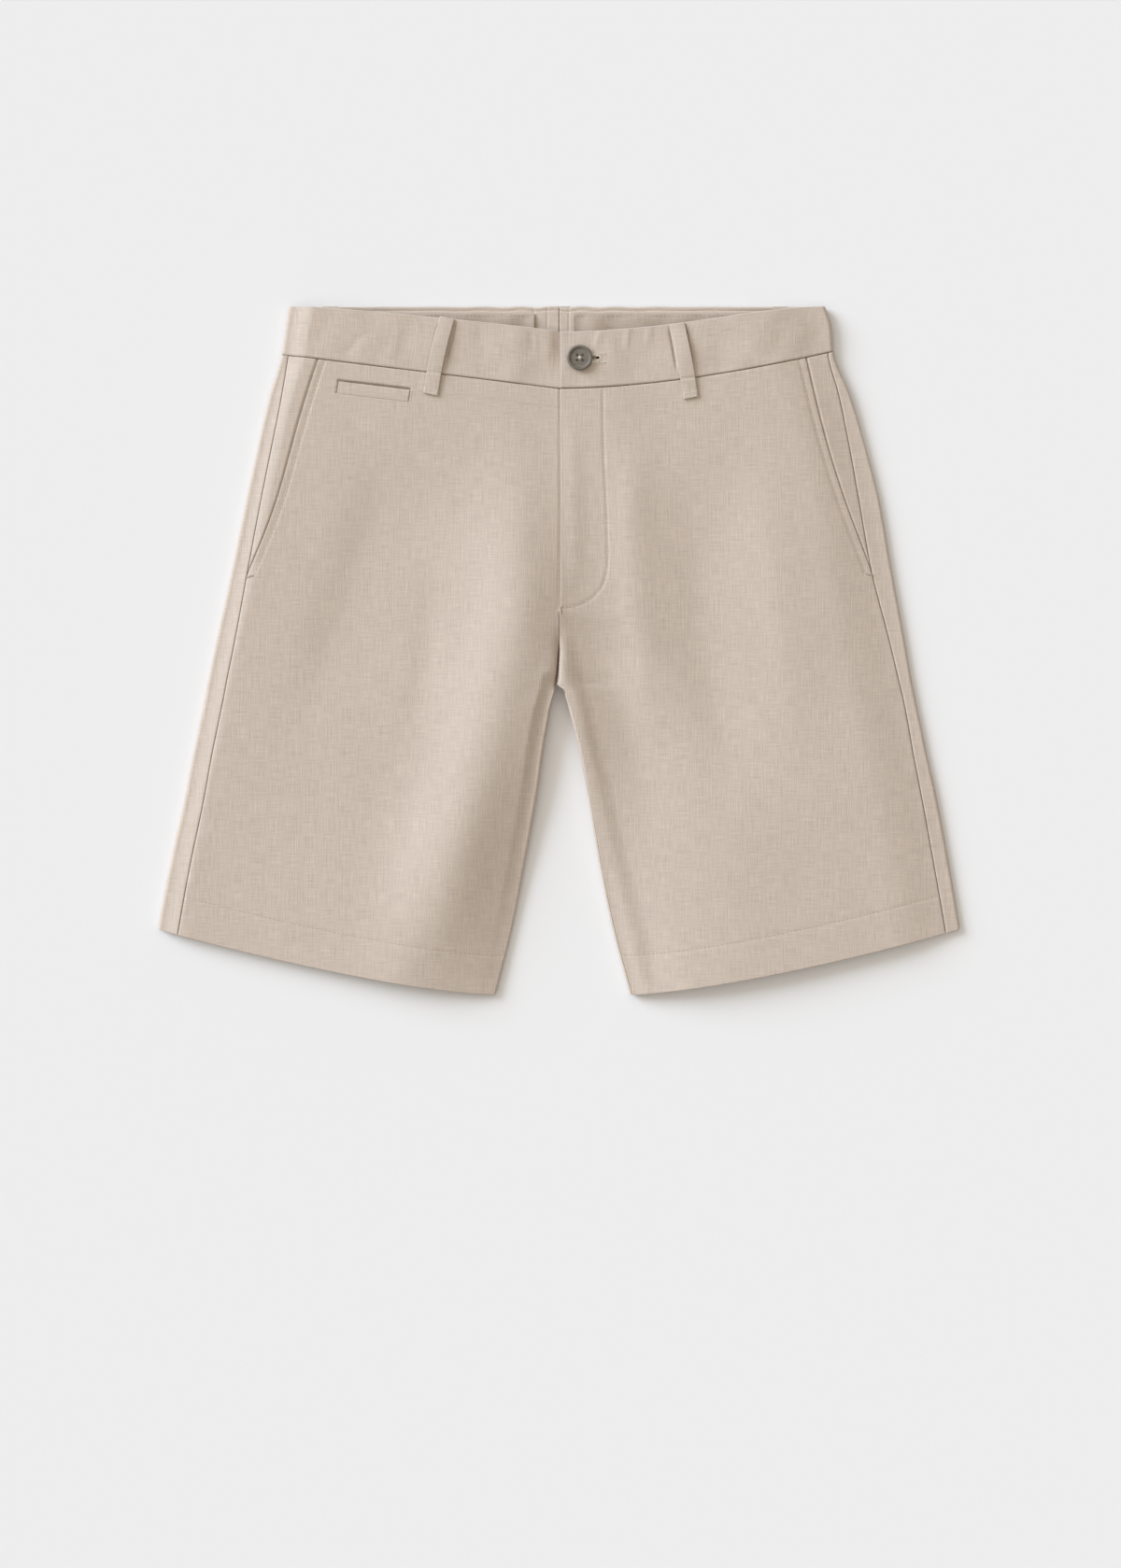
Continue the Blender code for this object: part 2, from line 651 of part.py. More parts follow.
def cut_buttonhole(band):
    """The slit in the left band, with round ends, under the button and out past its rim."""
    radius = BUTTONHOLE_WIDE / 2
    angles = np.linspace(-np.pi / 2, np.pi / 2, 9)
    outline = [(BUTTONHOLE_TO - radius + radius * np.cos(a), radius * np.sin(a)) for a in angles]
    outline += [(BUTTONHOLE_FROM + radius - radius * np.cos(a), -radius * np.sin(a)) for a in angles]
    count = len(outline)
    middle = np.array([(BUTTONHOLE_FROM + BUTTONHOLE_TO) / 2])
    face = float(band_face(LEFT, middle, np.array([BUTTON_DROP]))[0])
    low, high = face - BAND_CLOTH - CUT_CLEAR, face + CUT_CLEAR
    points = [(x, TOP_Y - BUTTON_DROP + y, z) for z in (low, high) for x, y in outline]
    faces = [tuple(range(count))[::-1], tuple(range(count, 2 * count))]
    faces += [(i, (i + 1) % count, count + (i + 1) % count, count + i) for i in range(count)]
    cut_away(band, "buttonhole_cutter", points, faces)


def waistband_facing(side):
    """The strip stitched inside the back of the band."""
    out = np.linspace(BACK_FACING_FROM[side], BACK_FACING_HALF, 8)[None, :]
    drop = np.linspace(BACK_FACING_TOP, BACK_FACING_FOOT, 4)[:, None]
    x, drop = np.broadcast_arrays(side * out, drop)
    low = lift(drop) + BAND_CLOTH + SEAM_GAP
    return wall(
        "waistband_facing_" + SIDE_NAME[side],
        spot(x, drop, low + FACING_CLOTH),
        spot(x, drop, low),
        FACING,
    )


def pocket_facing(side):
    """The side piece inside the slant pocket: it runs in under the front past the pocket mouth."""
    v = np.linspace(0, pocket_foot(side), POCKET_ROWS)[:, None]
    mouth = pocket_mouth(side, v)
    out = mix(side_seam(side, v) - SEAM_GAP / 2, mouth - POCKET_UNDER, crowd_ends(POCKET_COLUMNS, 0.3))
    x = side * out
    drop = leg_drop(x, v)
    beyond = np.clip((out - mouth) / POCKET_MOUTH_RUN, 0, 1)
    top = front_height(x, drop) - (CLOTH + POCKET_CLEAR) * (1 - beyond)
    return wall(
        "pocket_facing_" + SIDE_NAME[side], spot(x, drop, top), spot(x, drop, top - CLOTH), LINEN
    )


def coin_pocket_welt():
    """The narrow welt that stands on the right front, over the coin pocket's mouth."""
    across = np.linspace(-0.5, 0.5, 12)[None, :] * WELT_LONG
    down = np.linspace(-0.5, 0.5, 3)[:, None] * WELT_HIGH
    x = WELT_X + across - down * WELT_LEAN
    drop = WELT_DROP + down + across * WELT_SLANT
    base = leg_top(RIGHT, x, drop) + SEAM_GAP
    return wall("coin_pocket_welt", spot(x, drop, base + WELT_CLOTH), spot(x, drop, base), LINEN)


def loop_grid(place, rows):
    """x, drop and share along a strap of LOOP_WIDTH between its two ends."""
    share = np.linspace(0, 1, rows)[:, None]
    across = np.linspace(-0.5, 0.5, 3)[None, :] * LOOP_WIDTH
    run = np.array([place.x_foot - place.x_top, place.drop_foot - place.drop_top])
    run = run / np.hypot(*run)
    x = mix(place.x_top, place.x_foot, share) + across * run[1]
    drop = mix(place.drop_top, place.drop_foot, share) - across * run[0]
    return x, drop, np.broadcast_to(share, x.shape)


def front_belt_loop(place):
    """A strap over the band: sewn at both ends, standing a little off the band between them."""
    x, drop, share = loop_grid(place, 14)
    side = RIGHT if place.x_top < 0 else LEFT
    below_seam = ease((drop - waist_seam(x)) / LOOP_EASE)
    base = mix(band_face(side, x, drop), leg_top(side, x, drop) + SEAM_GAP / 2, below_seam)
    base = base + SEAM_GAP + LOOP_BOW * 4 * share * (1 - share)
    return wall(place.name, spot(x, drop, base + LOOP_CLOTH), spot(x, drop, base), LINEN)


def back_belt_loop(place):
    """A strap under the back of the band, flat on the table."""
    x, drop, _ = loop_grid(place, 3)
    flat = np.zeros_like(x)
    return wall(place.name, spot(x, drop, flat + BACK_LOOP_CLOTH), spot(x, drop, flat), LINEN)


def turned(profile, x, y, z):
    """A solid of revolution from (radius, height) pairs that start and end on the axis."""
    points = [(x, y, z + profile[0][1])]
    for radius, height in profile[1:-1]:
        for step in range(ROUND_STEPS):
            angle = 2 * np.pi * step / ROUND_STEPS
            points.append((x + radius * np.cos(angle), y + radius * np.sin(angle), z + height))
    points.append((x, y, z + profile[-1][1]))
    last = len(points) - 1
    faces = []
    for step in range(ROUND_STEPS):
        after = (step + 1) % ROUND_STEPS
        faces.append((0, 1 + after, 1 + step))
        for ring in range(len(profile) - 3):
            low = 1 + ring * ROUND_STEPS
            high = low + ROUND_STEPS
            faces.append((low + step, low + after, high + after, high + step))
        top = 1 + (len(profile) - 3) * ROUND_STEPS
        faces.append((top + step, top + after, last))
    return points, faces


def button_profile():
    """(radius, height) pairs: the flat back, the raised round rim and the dished middle."""
    rim_in = BUTTON_R - BUTTON_RIM
    return [
        (0, 0),
        (BUTTON_R - 2 * BUTTON_ROUND, 0),
        (BUTTON_R - BUTTON_ROUND / 3, BUTTON_ROUND),
        (BUTTON_R, BUTTON_THICK / 2),
        (BUTTON_R - BUTTON_ROUND / 3, BUTTON_THICK - BUTTON_ROUND),
        (BUTTON_R - 2 * BUTTON_ROUND, BUTTON_THICK),
        (rim_in, BUTTON_THICK),
        (rim_in - BUTTON_ROUND, BUTTON_THICK - BUTTON_DISH),
        (0, BUTTON_THICK - BUTTON_DISH),
    ]


def rod_profile(radius, low, high):
    return [(0, low), (radius, low), (radius, high), (0, high)]


def button():
    """A flat sew-through button with a raised rim and four holes, on its shank of thread."""
    y = TOP_Y - BUTTON_DROP
    place = np.array([BUTTON_X]), np.array([BUTTON_DROP])
    base = float(band_face(LEFT, *place)[0]) + BUTTON_STANDS
    points, faces = turned(button_profile(), BUTTON_X, y, base)
    disc = add_object("button", points, faces, HORN)
    drill = rod_profile(BUTTON_HOLE_R, -CUT_CLEAR, BUTTON_THICK + CUT_CLEAR)
    for i, (sx, sy) in enumerate([(-1, -1), (-1, 1), (1, 1), (1, -1)]):
        hole_x, hole_y = BUTTON_X + sx * BUTTON_HOLE_OFF, y + sy * BUTTON_HOLE_OFF
        points, faces = turned(drill, hole_x, hole_y, base)
        cut_away(disc, f"button_drill_{i}", points, faces)
    foot = float(band_face(RIGHT, *place)[0]) + SEAM_GAP
    points, faces = turned(rod_profile(SHANK_R, 0, base - SEAM_GAP - foot), BUTTON_X, y, foot)
    add_object("button_thread", points, faces, THREAD)


def build():
    clear_scene()
    for side in (RIGHT, LEFT):
        front_leg(side)
        back_leg(side)
        waistband_facing(side)
        pocket_facing(side)
    waistband(RIGHT)
    cut_buttonhole(waistband(LEFT))
    coin_pocket_welt()
    for place in FRONT_LOOPS:
        front_belt_loop(place)
    for place in BACK_LOOPS:
        back_belt_loop(place)
    button()


build()
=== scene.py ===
from functools import partial
import bpy
import numpy as np
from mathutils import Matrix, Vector


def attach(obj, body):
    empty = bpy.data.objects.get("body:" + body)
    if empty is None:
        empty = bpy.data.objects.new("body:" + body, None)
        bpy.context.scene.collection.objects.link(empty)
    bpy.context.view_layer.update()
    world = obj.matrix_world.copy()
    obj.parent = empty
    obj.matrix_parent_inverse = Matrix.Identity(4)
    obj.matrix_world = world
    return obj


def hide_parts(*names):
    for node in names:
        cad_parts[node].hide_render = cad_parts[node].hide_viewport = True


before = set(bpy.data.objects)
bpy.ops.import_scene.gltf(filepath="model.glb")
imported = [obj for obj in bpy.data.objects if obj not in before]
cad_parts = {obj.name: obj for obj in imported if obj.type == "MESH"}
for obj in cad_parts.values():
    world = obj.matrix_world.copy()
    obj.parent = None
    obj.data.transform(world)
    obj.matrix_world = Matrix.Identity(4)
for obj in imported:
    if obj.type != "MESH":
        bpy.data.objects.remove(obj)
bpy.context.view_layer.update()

print("frame loaded:", len(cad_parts), "nodes")

# A place on the garment is x, across from the centre line towards the wearer's left, and drop,
# down from the back's top edge. Heights are over the table. All lengths are in metres, but for
# those in sectionRows, flyStitch and the tables of creases and dips, which are in millimetres.
mm = 0.001
right, left = -1, 1
sideName = {right: "right", left: "left"}

cut = {
    "topY": 0.25825, "seamGap": 0.0003, "cloth": 0.0012,
    "hemCloth": 0.002, "hemDepth": 0.03, "hemRun": 0.02, "hemStep": 0.00012, "hemStepRun": 0.004,
    "crotch": 0.284, "crotchOpen": 0.296, "crotchBend": -0.0028, "bendFrom": 0.245, "bendPower": 2.5,
    "hemHigh": 0.468, "hemLow": 0.5173, "hemBow": 1.4, "backHemShort": 0.0015,
    "backInseamShows": 0.0021, "showsRun": 0.08, "seamUnder": 0.35,
}
# outer, roll and inner each have a column for the wearer's right, then one for the left: the outer
# edge, how far the back rolls on to the front, and the inner edge.
sectionColumns = {"drop": 0, "outer": 1, "roll": 3, "inner": 5, "loft": 7}
sectionRows = np.array([
    (0, 203, 199.8, 4, 4, 2.6, -2.6, 11.9),
    (12, 204.9, 204, 4.4, 4.2, 2.6, -2.6, 11.9),
    (36.5, 208.6, 206.8, 5.2, 4.6, 2.6, -2.6, 11.8),
    (65, 217.1, 218, 9, 8, 2.6, -2.6, 11.4),
    (100, 225.7, 228.9, 10.6, 11.6, 2.6, -2.6, 10.9),
    (140, 234.7, 239.8, 11.4, 15.2, 2.6, -2.6, 10.5),
    (197, 246.6, 250.3, 12.4, 15.2, 2.6, -2.6, 10.2),
    (246, 257.4, 259.6, 14, 11.6, 2.6, -2.6, 10.1),
    (284, 265.2, 266.4, 14.2, 9.2, 2.6, -2.6, 10),
    (286.8, 265.7, 267, 14.2, 9.1, 3, 1.6, 10),
    (296, 267.5, 268.8, 14.1, 9, 4.3, 4.5, 9.9),
    (311, 270.7, 272, 14.2, 9.3, 6.8, 8.4, 9.9),
    (328, 274.3, 275.4, 14.3, 9.8, 9.9, 12.6, 9.8),
    (364, 281.1, 283.3, 14.6, 10.8, 15.1, 20.2, 9.8),
    (417, 292.3, 293, 15, 11, 24.7, 29.3, 9.6),
    (468, 301.6, 301.4, 15.5, 10.8, 35.1, 39.8, 9.4),
    (517.3, 309, 309, 15.5, 11, 47.5, 53, 9),
]) * mm
waist = {
    right: {"dip": 0.0188, "topA": 1.0, "topB": 1.25, "seamBow": 1.0, "seamSide": 0.0365, "lapEnd": 0.028},
    left: {"dip": 0.0196, "topA": 2.0, "topB": 1.8, "seamBow": 1.75, "seamSide": 0.0337, "lapEnd": 0.001},
    "frontSeam": 0.0622, "backSeam": 0.041, "bandProud": 0.0005, "bandCloth": 0.002, "bandLap": 0.00115,
}
heights = {
    "waistFold": 0.0072, "legFold": {right: 0.0058, left: 0.0046}, "waistFoldRun": 0.12,
    "crotchTop": {right: 0.014, left: 0.0162}, "inseamTop": {right: 0.0046, left: 0.0062}, "inseamRun": 0.19,
    "crotchAcross": 0.0004, "inseamAcross": 0.003, "acrossRun": 0.022,
    "edgeRun": {right: 0.017, left: 0.05}, "innerRun": 0.046, "creaseOut": 0.025, "creaseIn": 0.012,
    "grooveDeep": 0.0016, "grooveHalf": 0.003, "grooveRun": 0.03,
    "lift": 0.0013, "liftFullTo": 0.062, "liftNoneFrom": 0.125,
}
fly = {"lap": 0.00078, "end": 0.231, "under": 0.006, "run": 0.036, "past": 0.01, "short": 0.004,
       "lapRun": 0.012, "footRun": 0.006}
pocket = {
    right: {"top": 0.1805, "bow": -0.0026, "sway": 0.0014},
    left: {"top": 0.185, "bow": -0.0042, "sway": 0.0},
    "foot": 0.197, "under": 0.024, "mouthRun": 0.0018, "footRun": 0.0008, "clear": 0.0005,
}
# Each crease runs down the cloth through its points (x, drop). Then come how far it spreads to the
# wearer's right and left, its height (a trough below 0), and the shares of its length that fade at
# the top and the foot.
creases = [
    # the long ridge from the fly to the wearer's right hem
    ([(-34, 85), (-30, 180), (-31, 235), (-44, 290), (-58, 345), (-75, 400), (-86, 440), (-99, 480),
      (-130, 560)], (36, 34), 11.5, (0.34, 0.34)),
    ([(-105, 330), (-122, 430), (-130, 560)], (80, 40), 2.2, (0.6, 0.001)),
    ([(-120, 90), (-142, 180), (-169, 260), (-190, 345)], (23, 55), -2.6, (0.35, 0.4)),
    ([(-94, 180), (-100, 260), (-112, 345)], (10, 10), -0.7, (0.4, 0.4)),
    # the wearer's left leg: ridge beside the fly, trough, and a second soft ridge
    ([(54, 80), (56, 180), (62, 250), (74, 340)], (14, 18), 2.6, (0.3, 0.4)),
    ([(98, 100), (104, 180), (112, 260), (138, 390)], (20, 26), -2.8, (0.35, 0.35)),
    ([(152, 75), (158, 160), (170, 240), (185, 360)], (20, 40), 2.4, (0.4, 0.45)),
    # the valley beside the wearer's left inseam
    ([(11, 236), (16, 262), (23.5, 290), (32, 328), (41, 364), (53.5, 417), (67, 468), (81, 560)],
     (10, 50), -2.6, (0.1, 0.3)),
    # the soft fold along the fly, and the swell of the left leg's foot
    ([(10, 72), (11, 150), (12, 222)], (6, 7), 0.7, (0.25, 0.25)),
    ([(116, 280), (112, 400), (118, 560)], (60, 110), 4.2, (0.45, 0.001)),
]


# 0 below 0, 1 above 1, and smooth between: t squared times (3 - 2t).
def ease(t):
    t = np.clip(t, 0, 1)
    return t * t * (3 - 2 * t)


# 1 at 0, falling alike on both sides: e to the power of minus t squared.
def bell(t):
    return np.exp(-(t**2))


# From a at t = 0 to b at t = 1, in proportion to t.
def mix(a, b, t):
    return a + (b - a) * t


# An uneven wave: a sine whose phase a slower sine swings.
def ripple(at, look):
    return look["high"] * np.sin(at / look["wave"] + look["swing"] * np.sin(at / look["slow"]))


# A smooth curve through points (at, values): a cubic on each span, with slopes from its neighbours.
def throughPoints(at, values, where):
    at, values = np.asarray(at, float), np.asarray(values, float)
    slopes = np.gradient(values, at) if len(at) > 2 else np.full(len(at), np.diff(values)[0] / np.diff(at)[0])
    where = np.clip(where, at[0], at[-1])
    low = np.clip(np.searchsorted(at, where, side="right") - 1, 0, len(at) - 2)
    span = at[low + 1] - at[low]
    t = (where - at[low]) / span
    return ((1 + 2 * t) * (1 - t) ** 2 * values[low] + t * (1 - t) ** 2 * span * slopes[low]
            + t**2 * (3 - 2 * t) * values[low + 1] - t**2 * (1 - t) * span * slopes[low + 1])


# A column of sectionRows at a drop, on a smooth curve down its rows.
def section(column, drop, side=right):
    return throughPoints(sectionRows[:, 0], sectionRows[:, sectionColumns[column] + (side == left)], drop)


# The value for the side of the centre line that x is on.
def bySide(table, x, key=None):
    pair = [table[side] if key is None else table[side][key] for side in (right, left)]
    return np.where(x < 0, *pair)


# Distance of the side fold's outer edge from the centre line.
def outerEdge(x, drop):
    return np.where(x < 0, section("outer", drop), section("outer", drop, left))


# The centre seam bends towards its foot.
def centreBend(drop):
    share = np.clip((drop - cut["bendFrom"]) / (cut["crotch"] - cut["bendFrom"]), 0, 1)
    return cut["crotchBend"] * share ** cut["bendPower"]


# A leg's inner edge: the centre seam, and below the crotch the inseam.
def innerX(side, drop):
    inseam = side * section("inner", drop, side)
    return np.where(drop > cut["crotch"], inseam, centreBend(drop) + side * cut["seamGap"] / 2)


# The hem is lowest at the inner leg and rises to the side fold as a power of the share across.
def hem(x):
    inner = np.where(x < 0, *sectionRows[-1, 5:7])
    share = np.clip((np.abs(x) - inner) / (outerEdge(x, cut["hemHigh"]) - inner), 0, 1.05)
    return cut["hemLow"] - (cut["hemLow"] - cut["hemHigh"]) * share ** cut["hemBow"]


# The seam between band and legs: it falls from the side to the middle, less on the back (layer 1).
def waistSeam(x, layer=0.0):
    seamSide = bySide(waist, x, "seamSide")
    share = np.clip(np.abs(x) / outerEdge(x, seamSide), 0, 1.1)
    front = mix(waist["frontSeam"], seamSide, share ** bySide(waist, x, "seamBow"))
    return mix(front, mix(waist["backSeam"], seamSide, share), layer)


gathers = {"high": 0.0005, "wave": 0.0047, "swing": 2.0, "slow": 0.031, "reach": 0.08}


# The band's top edge dips in the middle of the front, and on the back it is straight but for gathers.
def bandTop(x, layer=0.0):
    share = np.clip(np.abs(x) / outerEdge(x, 0.0), 0, 1)
    rounded = (1 - share ** bySide(waist, x, "topA")) ** bySide(waist, x, "topB")
    gathered = ripple(x, gathers) * bell(x / gathers["reach"])
    return bySide(waist, x, "dip") * rounded * (1 - layer) + gathered * layer


# The back's waist lies a little off the table.
def lift(drop):
    run = heights["liftNoneFrom"] - heights["liftFullTo"]
    return heights["lift"] * (1 - ease((drop - heights["liftFullTo"]) / run))


# Height of the side fold: it eases from the waist's to the leg's own.
def foldTop(x, drop):
    return mix(heights["waistFold"], bySide(heights["legFold"], x), ease(drop / heights["waistFoldRun"]))


# Half the height of the side fold over the lifted back.
def foldRadius(x, drop, proud=0.0):
    return (foldTop(x, drop) + proud - lift(drop)) / 2


# The inner fold of a leg: its height over the table, and how far its round side reaches across.
def innerTop(x, drop):
    down = ease((drop - cut["crotch"]) / heights["inseamRun"])
    return mix(bySide(heights["crotchTop"], x), bySide(heights["inseamTop"], x), down)


# It eases from next to nothing at the crotch to its own reach, at most half the height.
def innerAcross(x, drop):
    opened = ease((drop - cut["crotch"]) / heights["acrossRun"])
    return mix(heights["crotchAcross"], np.minimum(heights["inseamAcross"], innerTop(x, drop) / 2), opened)


# The sum of the creases: each is a bell across, from a smooth line down its points, and fades at
# both ends.
def creaseHeight(x, drop, table):
    total = np.zeros(np.broadcast(x, drop).shape)
    for points, wide, high, ends in table:
        xs, drops = np.array(points).T * mm
        across = x - throughPoints(drops, xs, drop)
        along = (drop - drops[0]) / (drops[-1] - drops[0])
        fade = ease(along / ends[0]) * ease((1 - along) / ends[1])
        total = total + high * mm * fade * bell(across / mm / np.where(across < 0, *wide))
    return total


# The front's outer face: it rises from the side fold and from the inner fold to the loft of the
# leg, with the creases on it and a groove along the centre seam's foot.
def frontHeight(x, drop):
    fromEdge = outerEdge(x, drop) - foldRadius(x, drop) - np.abs(x)
    fromInseam = np.where(x < 0, innerX(right, drop) - x, x - innerX(left, drop)) - innerAcross(x, drop)
    fromCrotch = np.hypot(x - cut["crotchBend"], cut["crotch"] - drop)
    fromInner = np.where(drop > cut["crotch"], fromInseam, fromCrotch)
    share = np.clip(fromInner / heights["innerRun"], 0, 1)
    riseIn = np.where(x < 0, 1 - (1 - share) ** 2, ease(share))
    body = mix(foldTop(x, drop), section("loft", drop), ease(fromEdge / bySide(heights["edgeRun"], x)))
    soft = creaseHeight(x, drop, creases)
    soft = soft * ease(fromEdge / heights["creaseOut"]) * ease(fromInner / heights["creaseIn"])
    groove = heights["grooveDeep"] * bell((x - centreBend(drop)) / heights["grooveHalf"])
    groove = groove * ease((drop - fly["end"]) / heights["grooveRun"]) * (drop <= cut["crotch"])
    return mix(innerTop(x, drop), body, riseIn) + soft - groove


# How the left piece rides over the right one near the centre line, and the right one dips under.
def lap(side, x, full, run=fly["run"]):
    if side == left:
        return full * (1 - ease((x - waist[right]["lapEnd"] - fly["past"]) / run))
    return -full * ease((x + run) / (run - fly["short"]))


# Drop of the side seam at a share v of the way down a leg.
def sideDrop(side, v):
    return mix(waist[side]["seamSide"], cut["hemHigh"], v)


# The same for the centre seam and the inseam.
def centreDrop(v):
    return mix(waist["frontSeam"], cut["hemLow"], v)


# Distance of the side seam from the centre line, on the front.
def sideSeam(side, v):
    drop = sideDrop(side, v)
    return outerEdge(side, drop) - section("roll", drop, side)


# The share v at which the pocket mouth meets the side seam.
def pocketFoot(side):
    return (pocket["foot"] - waist[side]["seamSide"]) / (cut["hemHigh"] - waist[side]["seamSide"])


# Distance of the slanted pocket edge from the centre line, until it meets the side seam: a straight
# line with a bow, half a sine, and a sway, a whole one.
def pocketMouth(side, v):
    foot, edge = pocketFoot(side), pocket[side]
    share = np.clip(v / foot, 0, 1)
    bent = edge["bow"] * np.sin(np.pi * share) + edge["sway"] * np.sin(2 * np.pi * share)
    return np.where(v < foot, mix(edge["top"], sideSeam(side, foot), share) + bent, sideSeam(side, v))


# Drop at a share v of the way down a leg, from the band's seam to the hem.
def legDrop(x, v, layer=0.0):
    return mix(waistSeam(x, layer) + cut["seamGap"] / 2, hem(x) - cut["backHemShort"] * layer, v)


# The share v of a drop: its distance from the band's seam over that of the hem.
def legShare(x, drop):
    return (drop - waistSeam(x)) / (hem(x) - waistSeam(x))


# The cloth's thickness, which eases to the hem's over the turned-up part.
def legCloth(v):
    hemFrom = 1 - cut["hemDepth"] / (cut["hemLow"] - waist["frontSeam"])
    return mix(cut["cloth"], cut["hemCloth"], ease((v - hemFrom) / cut["hemRun"]))


# Where the inner fold is split between front and back, as an angle up from the middle of its side.
def seamAngle(side, drop):
    shown = ease((drop - cut["crotchOpen"]) / cut["showsRun"]) * (side == left)
    shows = np.arccos(1 - cut["backInseamShows"] * shown / innerAcross(side, drop))
    return shows - cut["seamUnder"] * (1 - shown)


sewing = {
    "flyStitch": [(32.6, 64), (33.3, 105), (35.4, 153.3), (36.1, 177.8), (35.7, 198.1), (32.6, 210),
                  (26.3, 217.7), (18, 223.4), (10, 226.2), (1.4, 226.8)],
    "pocketInset": 0.005, "grooveWide": 0.0012,
    "grooveDeep": {"hem": 0.00014, "mouth": 0.00042, "fly": 0.0004},
    "hemSideShare": 0.93, "hemInnerDrop": 0.487, "hemClear": (0.001, 0.0005),
    "pocketTack": (0.0062, 0.0016, 0.0018), "flyTack": (0.0016, 0.2262, 0.2312, 0.0016), "tackStep": 0.0005,
    "stitchLong": 0.0027, "stitchStep": 0.0033, "threadRadius": 0.00018, "loopThreadRadius": 0.00024,
}


# Distance along rows (axis 1) or columns (axis 0) of a grid of points, or down a path (axis 0).
def lengthAlong(points, axis):
    steps = np.linalg.norm(np.diff(points, axis=axis), axis=-1)
    first = np.zeros_like(np.take(steps, [0], axis=axis))
    return np.concatenate([first, np.cumsum(steps, axis=axis)], axis=axis)


# Points at equal steps along a smooth line through the given points.
def alongPath(points, step):
    at = lengthAlong(points, 0)
    where = np.linspace(0, at[-1], max(2, int(round(at[-1] / step)) + 1))
    return np.stack([throughPoints(at, column, where) for column in points.T], axis=-1)


# Distance from each place to the nearest span of a path.
def distanceTo(path, x, drop):
    nearest = np.full(np.broadcast(x, drop).shape, 9.0)
    for (x0, d0), (x1, d1) in zip(path[:-1], path[1:]):
        runX, runD = x1 - x0, d1 - d0
        t = np.clip(((x - x0) * runX + (drop - d0) * runD) / (runX**2 + runD**2), 0, 1)
        nearest = np.minimum(nearest, np.hypot(x - x0 - t * runX, drop - d0 - t * runD))
    return nearest


flyLine = np.array(sewing["flyStitch"]) * mm
flyPath = alongPath(flyLine, 0.006)


# The stitched lines pull shallow grooves into the cloth: a bell across each line.
def grooves(side, x, drop):
    v, wide, deep = legShare(x, drop), sewing["grooveWide"], sewing["grooveDeep"]
    fromMouth = np.abs(x) - pocketMouth(side, v) + sewing["pocketInset"]
    total = deep["hem"] * bell((hem(x) - cut["hemDepth"] - drop) / wide)
    total = total + deep["mouth"] * bell(fromMouth / wide) * (v < pocketFoot(side))
    if side == left:
        total = total + deep["fly"] * bell(distanceTo(flyPath, x, drop) / wide)
    return total


welt = {"x": -0.1392, "drop": 0.0645, "long": 0.0532, "high": 0.009, "slant": 0.118, "lean": 0.17,
        "cloth": 0.001, "crown": 0.00025, "sunk": 0.0011, "slot": 0.0008, "slotDeep": 0.0022,
        "ends": 0.0004, "soft": 0.0005, "sewnIn": 0.0012, "tackOff": 0.0018}


# A place across and down the welt, which slants across and leans down.
def weltPlace(across, down):
    return welt["x"] + across - down * welt["lean"], welt["drop"] + down + across * welt["slant"]


# The leg dips under the coin pocket's welt, a little beyond its top edge and its ends, so that the
# welt lies flush and its opening is a narrow slot.
def weltBed(x, drop):
    a, d = x - welt["x"], drop - welt["drop"]
    across = (a + welt["lean"] * d) / (1 + welt["lean"] * welt["slant"])
    down = d - across * welt["slant"]
    half, slot, soft = welt["high"] / 2, welt["slot"], welt["soft"]
    inLong = ease((welt["long"] / 2 + welt["ends"] - np.abs(across)) / soft + 1)
    bed = welt["sunk"] * ease((down + half + slot) / soft + 1) * ease((half - down) / soft)
    return inLong * (bed + welt["slotDeep"] * bell((down + half + slot / 2) / slot))


# Where the leg's cloth dips in narrow lines: at the waist seam and the side seam, beside the fly's
# edge, and in the slit that the inner folds leave above the crotch.
slots = {"waist": 0.0006, "waistWide": 0.0007, "side": 0.0004, "sideWide": 0.0007,
         "fly": 0.001, "flyWide": 0.0007, "flyOff": 0.0006, "flyRun": 0.008,
         "slit": 0.005, "slitWide": 0.001, "slitFrom": 0.248, "slitRun": 0.016}


# A bell across the line of the waist seam.
def waistDip(x, drop):
    return slots["waist"] * bell((drop - waistSeam(x)) / slots["waistWide"])


# Each is a bell across its line, and those at the fly and the slit ease in or out along it.
def narrowDips(side, x, drop):
    closed = 1 - ease((drop - fly["end"]) / slots["flyRun"] + 0.5)
    beside = bell((x - waist[left]["lapEnd"] + slots["flyOff"]) / slots["flyWide"]) * closed * (side == right)
    slit = slots["slit"] * bell((x - centreBend(drop)) / slots["slitWide"]) * (drop <= cut["crotch"])
    slit = slit * ease((drop - slots["slitFrom"]) / slots["slitRun"])
    fromSeam = np.abs(x) - sideSeam(side, legShare(x, drop))
    seams = waistDip(x, drop) + slots["side"] * bell(fromSeam / slots["sideWide"])
    return slots["fly"] * beside + slit + seams


sidePuckers = {"high": 0.00011, "wave": 0.0031, "swing": 2.3, "slow": 0.017, "cross": 0.000066,
               "down": 0.0083, "out": 0.004, "off": 0.003, "wide": 0.006, "from": 0.015, "run": 0.004}


# Small puckers across the side seam, uneven down its length.
def seamPucker(side, x, drop):
    look = sidePuckers
    fromSeam = np.abs(x) - sideSeam(side, legShare(x, drop))
    wave = ripple(drop, look) + look["cross"] * np.sin(drop / look["down"] + x / look["out"])
    near = bell((fromSeam + look["off"]) / look["wide"]) * ease((look["from"] + fromSeam) / look["run"])
    return wave * near


